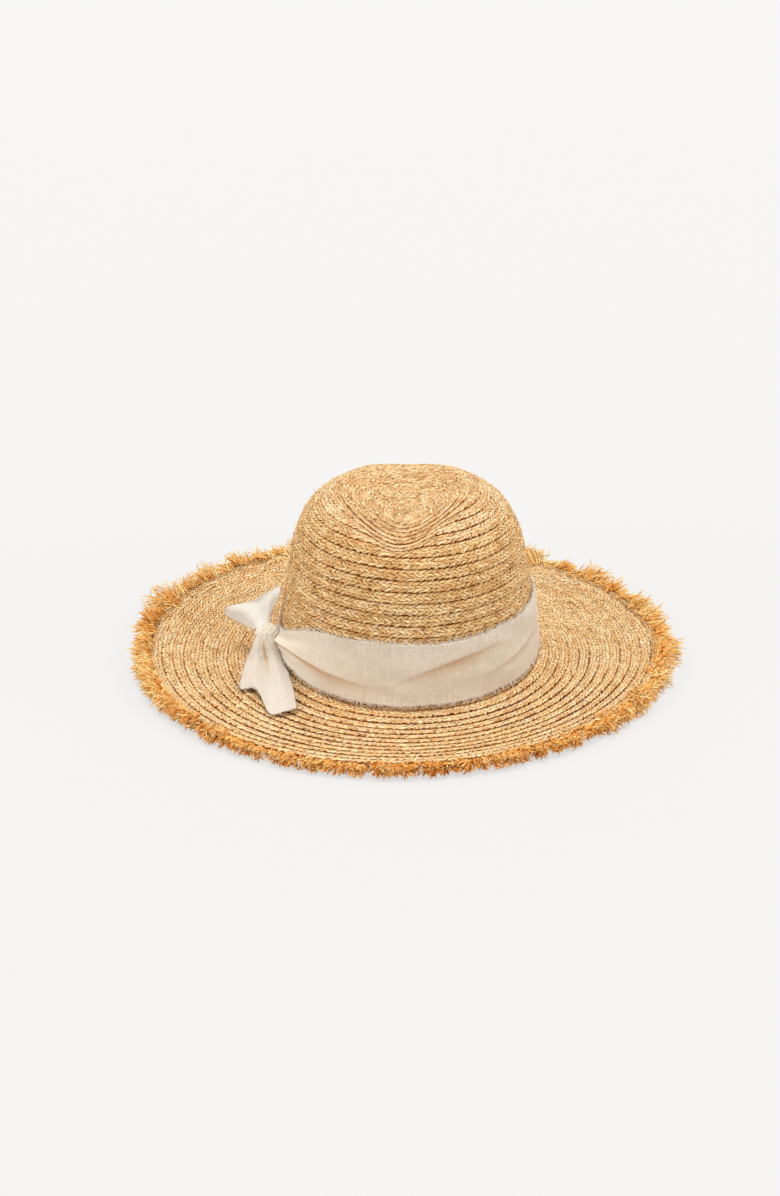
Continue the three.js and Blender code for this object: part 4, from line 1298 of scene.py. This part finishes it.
tail("lower_tail", LOWER_TAIL, KNOT_CENTRE + np.array([0.0, -1.5, 1.5]), rows=110, columns=70,
     seed=5, settle=rest_on_brim,
     material=LINEN_LOWER_SHADED, crease=middle_crease)
tail("upper_tail", UPPER_TAIL, KNOT_CENTRE + np.array([-0.3, 0.6, 1.5]), rows=80, columns=60,
     seed=9, settle=clear_of_brim,
     material=LINEN_UPPER_SHADED)


# ------------------------------------------------------------------ inside the crown
def cotton_material(name, base, light, rib):
    """Ribbed cotton; rib is the spacing of its ribs."""
    s = Shader(name)
    wu = s.attribute("wu")
    pos = s.position()
    fine = s.noise(pos, scale=700.0, rough=0.6)
    big = s.noise(pos, scale=40.0, detail=1.0)
    ribs = s.size(s.wave(wu * (math.pi / rib)))
    shade = (ribs * 0.35 + (fine - 0.5) * 0.6) + (big - 0.5) * 0.3
    colour = s.ramp(shade + 0.30, [(0.0, base), (1.0, light)])
    normal = s.bump(ribs + fine * 0.5, strength=0.5, depth=0.15)
    return s.done(colour, 0.85, normal, sheen=0.15, specular=0.2)


TAPE = cotton_material("cotton_tape", rgb(206, 190, 164), rgb(240, 230, 212), rib=0.9)
CORD = cotton_material("cotton_cord", rgb(214, 200, 178), rgb(245, 237, 222), rib=0.45)
LABEL = cotton_material("label_cloth", rgb(226, 218, 204), rgb(247, 242, 232), rib=0.35)
THREAD = cotton_material("sewing_thread", rgb(206, 178, 132), rgb(236, 214, 174), rib=0.3)


def sweatband():
    """Tape round the inside of the wall, with a casing for the cord along its top."""
    n = 540
    climbs = np.r_[np.linspace(1.7, 22.4, 16), np.linspace(23.2, 29.9, 15)]
    theta, climb = np.meshgrid(np.arange(n) * TAU / n, climbs, indexing="ij")
    from_back = np.abs((theta - TAU / 4 + math.pi) % TAU - math.pi) / math.radians(4.0)
    mouth = np.exp(-from_back ** 4)            # the casing is open behind the cord knot
    bulge = 2.55 * np.exp(-((climb - 26.5) / 2.0) ** 4)
    mm = theta * GIRTH_RADIUS
    pucker = (0.16 * noise2(mm / 5.0, climb / 6.0, 61)
              + 0.10 * np.sin(mm / 2.6) * np.exp(-((climb - 4.6) / 1.6) ** 2))
    lowered = climb - mouth * np.clip((climb - 22.0) / 8.0, 0, 1) * 6.0
    sheet("sweatband_tape", off_crown(theta, lowered, -3.15),
          off_crown(theta, lowered, -3.95 - bulge * (1 - mouth) + pucker), True,
          {"wu": mm, "wv": climb, "fold_shade": climb * 0}, TAPE,
          body="hat", slot="cotton_sweatband", replaces=("sweatband",))


def stitches(name, centres, along, up, length, radius, replaces):
    """Short bowed threads, one for each centre."""
    t = np.linspace(-0.5, 0.5, 7)
    bow = (0.55 * np.sqrt(np.clip(1 - (2 * t) ** 2, 0, 1)) - 0.35)[:, None]
    taper = np.array([0.5, 0.9, 1, 1, 1, 0.9, 0.5])
    points, quads, caps, total = [], [], [], 0
    for centre, ahead, out in zip(centres, along, up):
        path = centre + ahead * (t * length)[:, None] + out * bow
        v, q, c, _, _ = tube(path, taper * radius, sides=6)
        points.append(v)
        quads.append(q + total)
        caps.append(c + total)
        total += len(v)
    count = len(centres)
    cells = int(math.ceil(math.sqrt(count)))

    def cell_uv(patch, faces_each):
        """The patch in each stitch's own square of the UV map."""
        i = np.repeat(np.arange(count), faces_each)
        return (np.array(patch) + np.stack([i % cells, i // cells], -1)[:, None, :]) / cells

    uvs = [cell_uv([[0.1, 0.1], [0.9, 0.1], [0.9, 0.9], [0.1, 0.9]], len(quads[0])),
           cell_uv([[0.2, 0.2], [0.8, 0.2], [0.5, 0.8]], len(caps[0]))]
    points = np.vstack(points)
    make_mesh(name, points, [np.vstack(quads), np.vstack(caps)], uvs,
              {"wu": points[:, 0] + points[:, 1]}, THREAD, "hat", "sewing_thread", replaces)


def sweatband_stitches(count=150, climb=4.5, off=-4.05):
    theta = TAU * (np.arange(count) + 0.5) / count
    along = unit(off_crown(theta + 0.005, climb, off) - off_crown(theta - 0.005, climb, off))
    stitches("sweatband_stitches", off_crown(theta, climb, off), along,
             -crown_normal(theta, climb), 2.7, 0.28, ("sweatband_stitching",))


def fringe_stitches(count=230):
    """Stitches that hold the raffia on the last turn of plait."""
    theta = TAU * (np.arange(count) + 0.5) / count
    reach = brim_width(theta) - 3.4
    stitches("fringe_stitches", brim(theta, reach) + np.array([0, 0, 1.05]),
             unit(brim(theta + 0.005, reach) - brim(theta - 0.005, reach)),
             np.tile(UP_VECTOR, (count, 1)), 3.0, 0.26, ("fringe_stitching",))


def whole_uv(ring, side, rings, sides):
    return quad_uv(ring / rings, side / sides,
                   (ring + 1) / rings, (side + 1) / sides) * 0.98 + 0.01


def row_uv(ring, side, rings, sides, rows=16):
    """A long rope cut into rows."""
    per = rings / rows
    row = np.floor(ring / per)
    uv = quad_uv((ring - row * per) / per, (row + 0.05 + 0.9 * side / sides) / rows,
                 (ring + 1 - row * per) / per, (row + 0.05 + 0.9 * (side + 1) / sides) / rows)
    return np.clip(uv, 0, 1)


def rope(name, path, radius, pitch, sides, closed, depth, body, replaces, uv_map=whole_uv):
    """A cord of three twisted strands."""
    points, quads, caps, length, angle = tube(path, radius, 3, pitch, sides, closed, depth)
    rings = len(path) if closed else len(path) - 1
    ring, side = np.repeat(np.arange(rings), sides), np.tile(np.arange(sides), rings)
    uv = np.roll(uv_map(ring, side, rings, sides), -1, axis=1)
    cap_uv = np.tile([[0.995, 0.995], [0.999, 0.995], [0.997, 0.999]], (len(caps), 1, 1))
    wu = np.repeat(length, sides) + np.tile(angle, len(path)) * 0.8
    if not closed:
        wu = np.r_[wu, 0, length[-1]]
    make_mesh(name, points, [quads, caps], [uv, cap_uv], {"wu": wu}, CORD,
              body, "cotton_cord", replaces)


CORD_KNOT = np.array([2.0, 85.43, 32.5])


def size_cord():
    """Rope round the casing and its trefoil knot at the back."""
    theta = np.arange(560) * TAU / 560
    rope("size_cord", off_crown(theta, 26.5, -4.95), 0.95, pitch=5.2, sides=12, closed=True,
         depth=0.16, body="hat", replaces=("drawcord",), uv_map=row_uv)
    t = np.linspace(0, TAU, 160, endpoint=False)
    trefoil = np.stack([(np.sin(t) + 2 * np.sin(2 * t)) * 0.82, -np.sin(3 * t) * 0.85,
                        (np.cos(t) - 2 * np.cos(2 * t)) * 0.60], -1)
    rope("size_cord_knot", CORD_KNOT + trefoil, 0.85, pitch=4.6, sides=10, closed=True,
         depth=0.15, body="hat", replaces=("drawcord_knot",))


def cord_end(side, word):
    """An end that hangs from the knot, and the loose fibres at its tip."""
    body = "cord_end_" + word
    v = np.linspace(-0.10, 1.0, 60)
    path = CORD_KNOT + np.stack([side * (1.5 + 3.4 * v + 1.6 * v * v),
                                 0.5 * v + 0.35 * np.sin(v * 7 + side), -2.9 - 17.5 * v], -1)
    rope(body + "_twist", path, 0.92 * np.where(v > 0.93, 1.18, 1.0), pitch=5.2, sides=12,
         closed=False, depth=0.16, body=body, replaces=(body,))
    r = np.random.default_rng(70 + side)
    rings, count = 4, 26
    ahead = unit(path[-1] - path[-3])
    angle = r.uniform(0, TAU, count)[:, None]
    first = unit(np.cross(ahead, np.array([1.0, 0.2, 0])))
    radial = first * np.cos(angle) + np.cross(ahead, first) * np.sin(angle)
    root = path[-1] - ahead * 0.4 + radial * (0.72 * np.sqrt(r.uniform(0, 1, count)))[:, None]
    heading = unit(ahead + radial * r.uniform(0.05, 0.45, count)[:, None])
    fibres, _ = grow(root, heading, r.uniform(1.4, 3.0, count) / 3,
                     lambda d: unit(d + radial * r.normal(0, 0.15, count)[:, None]), rings)
    widths = np.full((count, rings), 0.30) * np.array([1, 1, 0.9, 0.4])
    blades("cord_tip_" + word, fibres, widths, hold(unit(np.cross(ahead, radial)), rings),
           hold(radial, rings), {"wu": np.ones((count, rings))}, CORD, ridge=0.9,
           body=body, slot="cotton_cord")


def label():
    """Blank cloth label that hangs from the sweatband at the back left."""
    theta = math.radians(118.0)
    half_width, bottom = 9.4, 16.9
    top = off_crown(theta, 23.0, -5.5)
    right = unit(off_crown(theta + 0.01, 23.0, -5.2) - off_crown(theta - 0.01, 23.0, -5.2))
    inward = -crown_normal(theta, 15.0)
    down = unit(np.cross(right, inward))
    if down[2] > 0:
        down = -down
    u, v = np.meshgrid(np.linspace(-half_width, half_width, 61),
                       np.linspace(0.35, bottom, 57), indexing="ij")
    hem = 0.20 * (np.exp(-((np.abs(u) - half_width) / 1.3) ** 2)
                  + np.exp(-((v - bottom) / 1.3) ** 2))
    wave = 0.30 * np.sin(u / 4.2 + 0.4) * (v / 17) ** 1.5 + 0.10 * np.sin(u / 1.9) * (v / 17)
    base = top + right * u[..., None] + down * v[..., None]
    sheet("label_blank", base + inward * (0.30 + wave + hem)[..., None],
          base + inward * (-0.30 + wave - hem * 0.2)[..., None], False,
          {"wu": u + 20, "wv": v, "fold_shade": u * 0}, LABEL,
          body="care_label", slot="label_cloth", replaces=("care_label",))


sweatband()
sweatband_stitches()
fringe_stitches()
size_cord()
cord_end(-1, "left")
cord_end(1, "right")
label()


# ------------------------------------------------------------------ studio, in metres
def floor_material():
    s = Shader("floor_paper")
    paper = (0.18, 0.1795, 0.178)
    colour = s.mix(s.noise(s.position(), scale=3.0), paper, tuple(v * 0.995 for v in paper))
    s.put(s.bsdf.inputs["Emission Color"], (1.0, 0.992, 0.985, 1))
    s.bsdf.inputs["Emission Strength"].default_value = 0.625
    return s.done(colour, 0.9, specular=0.05)


def sun(name, toward, strength, angle, colour):
    """A sun that stands in the direction toward; angle is its size in degrees."""
    light = bpy.data.lights.new(name, "SUN")
    light.energy = strength
    light.angle = math.radians(angle)
    light.color = colour
    ob = bpy.data.objects.new(name, light)
    scene.collection.objects.link(ob)
    ob.rotation_euler = Vector(toward).to_track_quat("Z", "Y").to_euler()


bpy.ops.mesh.primitive_plane_add(size=30, location=(0, 3.0, -0.0004))
floor = bpy.context.object
floor.name = "floor"
floor.data.materials.append(floor_material())

scene = bpy.context.scene
scene.view_settings.view_transform = "Standard"
scene.view_settings.look = "None"
world = bpy.data.worlds.new("studio")
scene.world = world
world.use_nodes = True
background = world.node_tree.nodes["Background"]
background.inputs["Color"].default_value = (1.0, 0.995, 0.99, 1)
background.inputs["Strength"].default_value = 0.95

sun("key", (0.04, -0.03, 0.98), strength=1.55, angle=20, colour=(1.0, 0.982, 0.95))
sun("fill_right", (0.94, -0.32, 0.42), strength=0.80, angle=40, colour=(1.0, 0.985, 0.96))
sun("fill_left", (-0.87, -0.49, 0.35), strength=0.86, angle=40, colour=(1.0, 0.985, 0.96))

lens = bpy.data.cameras.new("camera")
lens.lens = 63.96
lens.sensor_width = 36.0
lens.sensor_fit = "AUTO"
lens.clip_start = 0.05
lens.clip_end = 60
camera = bpy.data.objects.new("camera", lens)
scene.collection.objects.link(camera)
camera.location = (0.0020, -1.35044, 0.65486)
target = Vector((-0.0105, 0.01572, 0.03415))
camera.rotation_euler = (target - camera.location).to_track_quat("-Z", "Y").to_euler()
scene.camera = camera

bpy.context.view_layer.update()
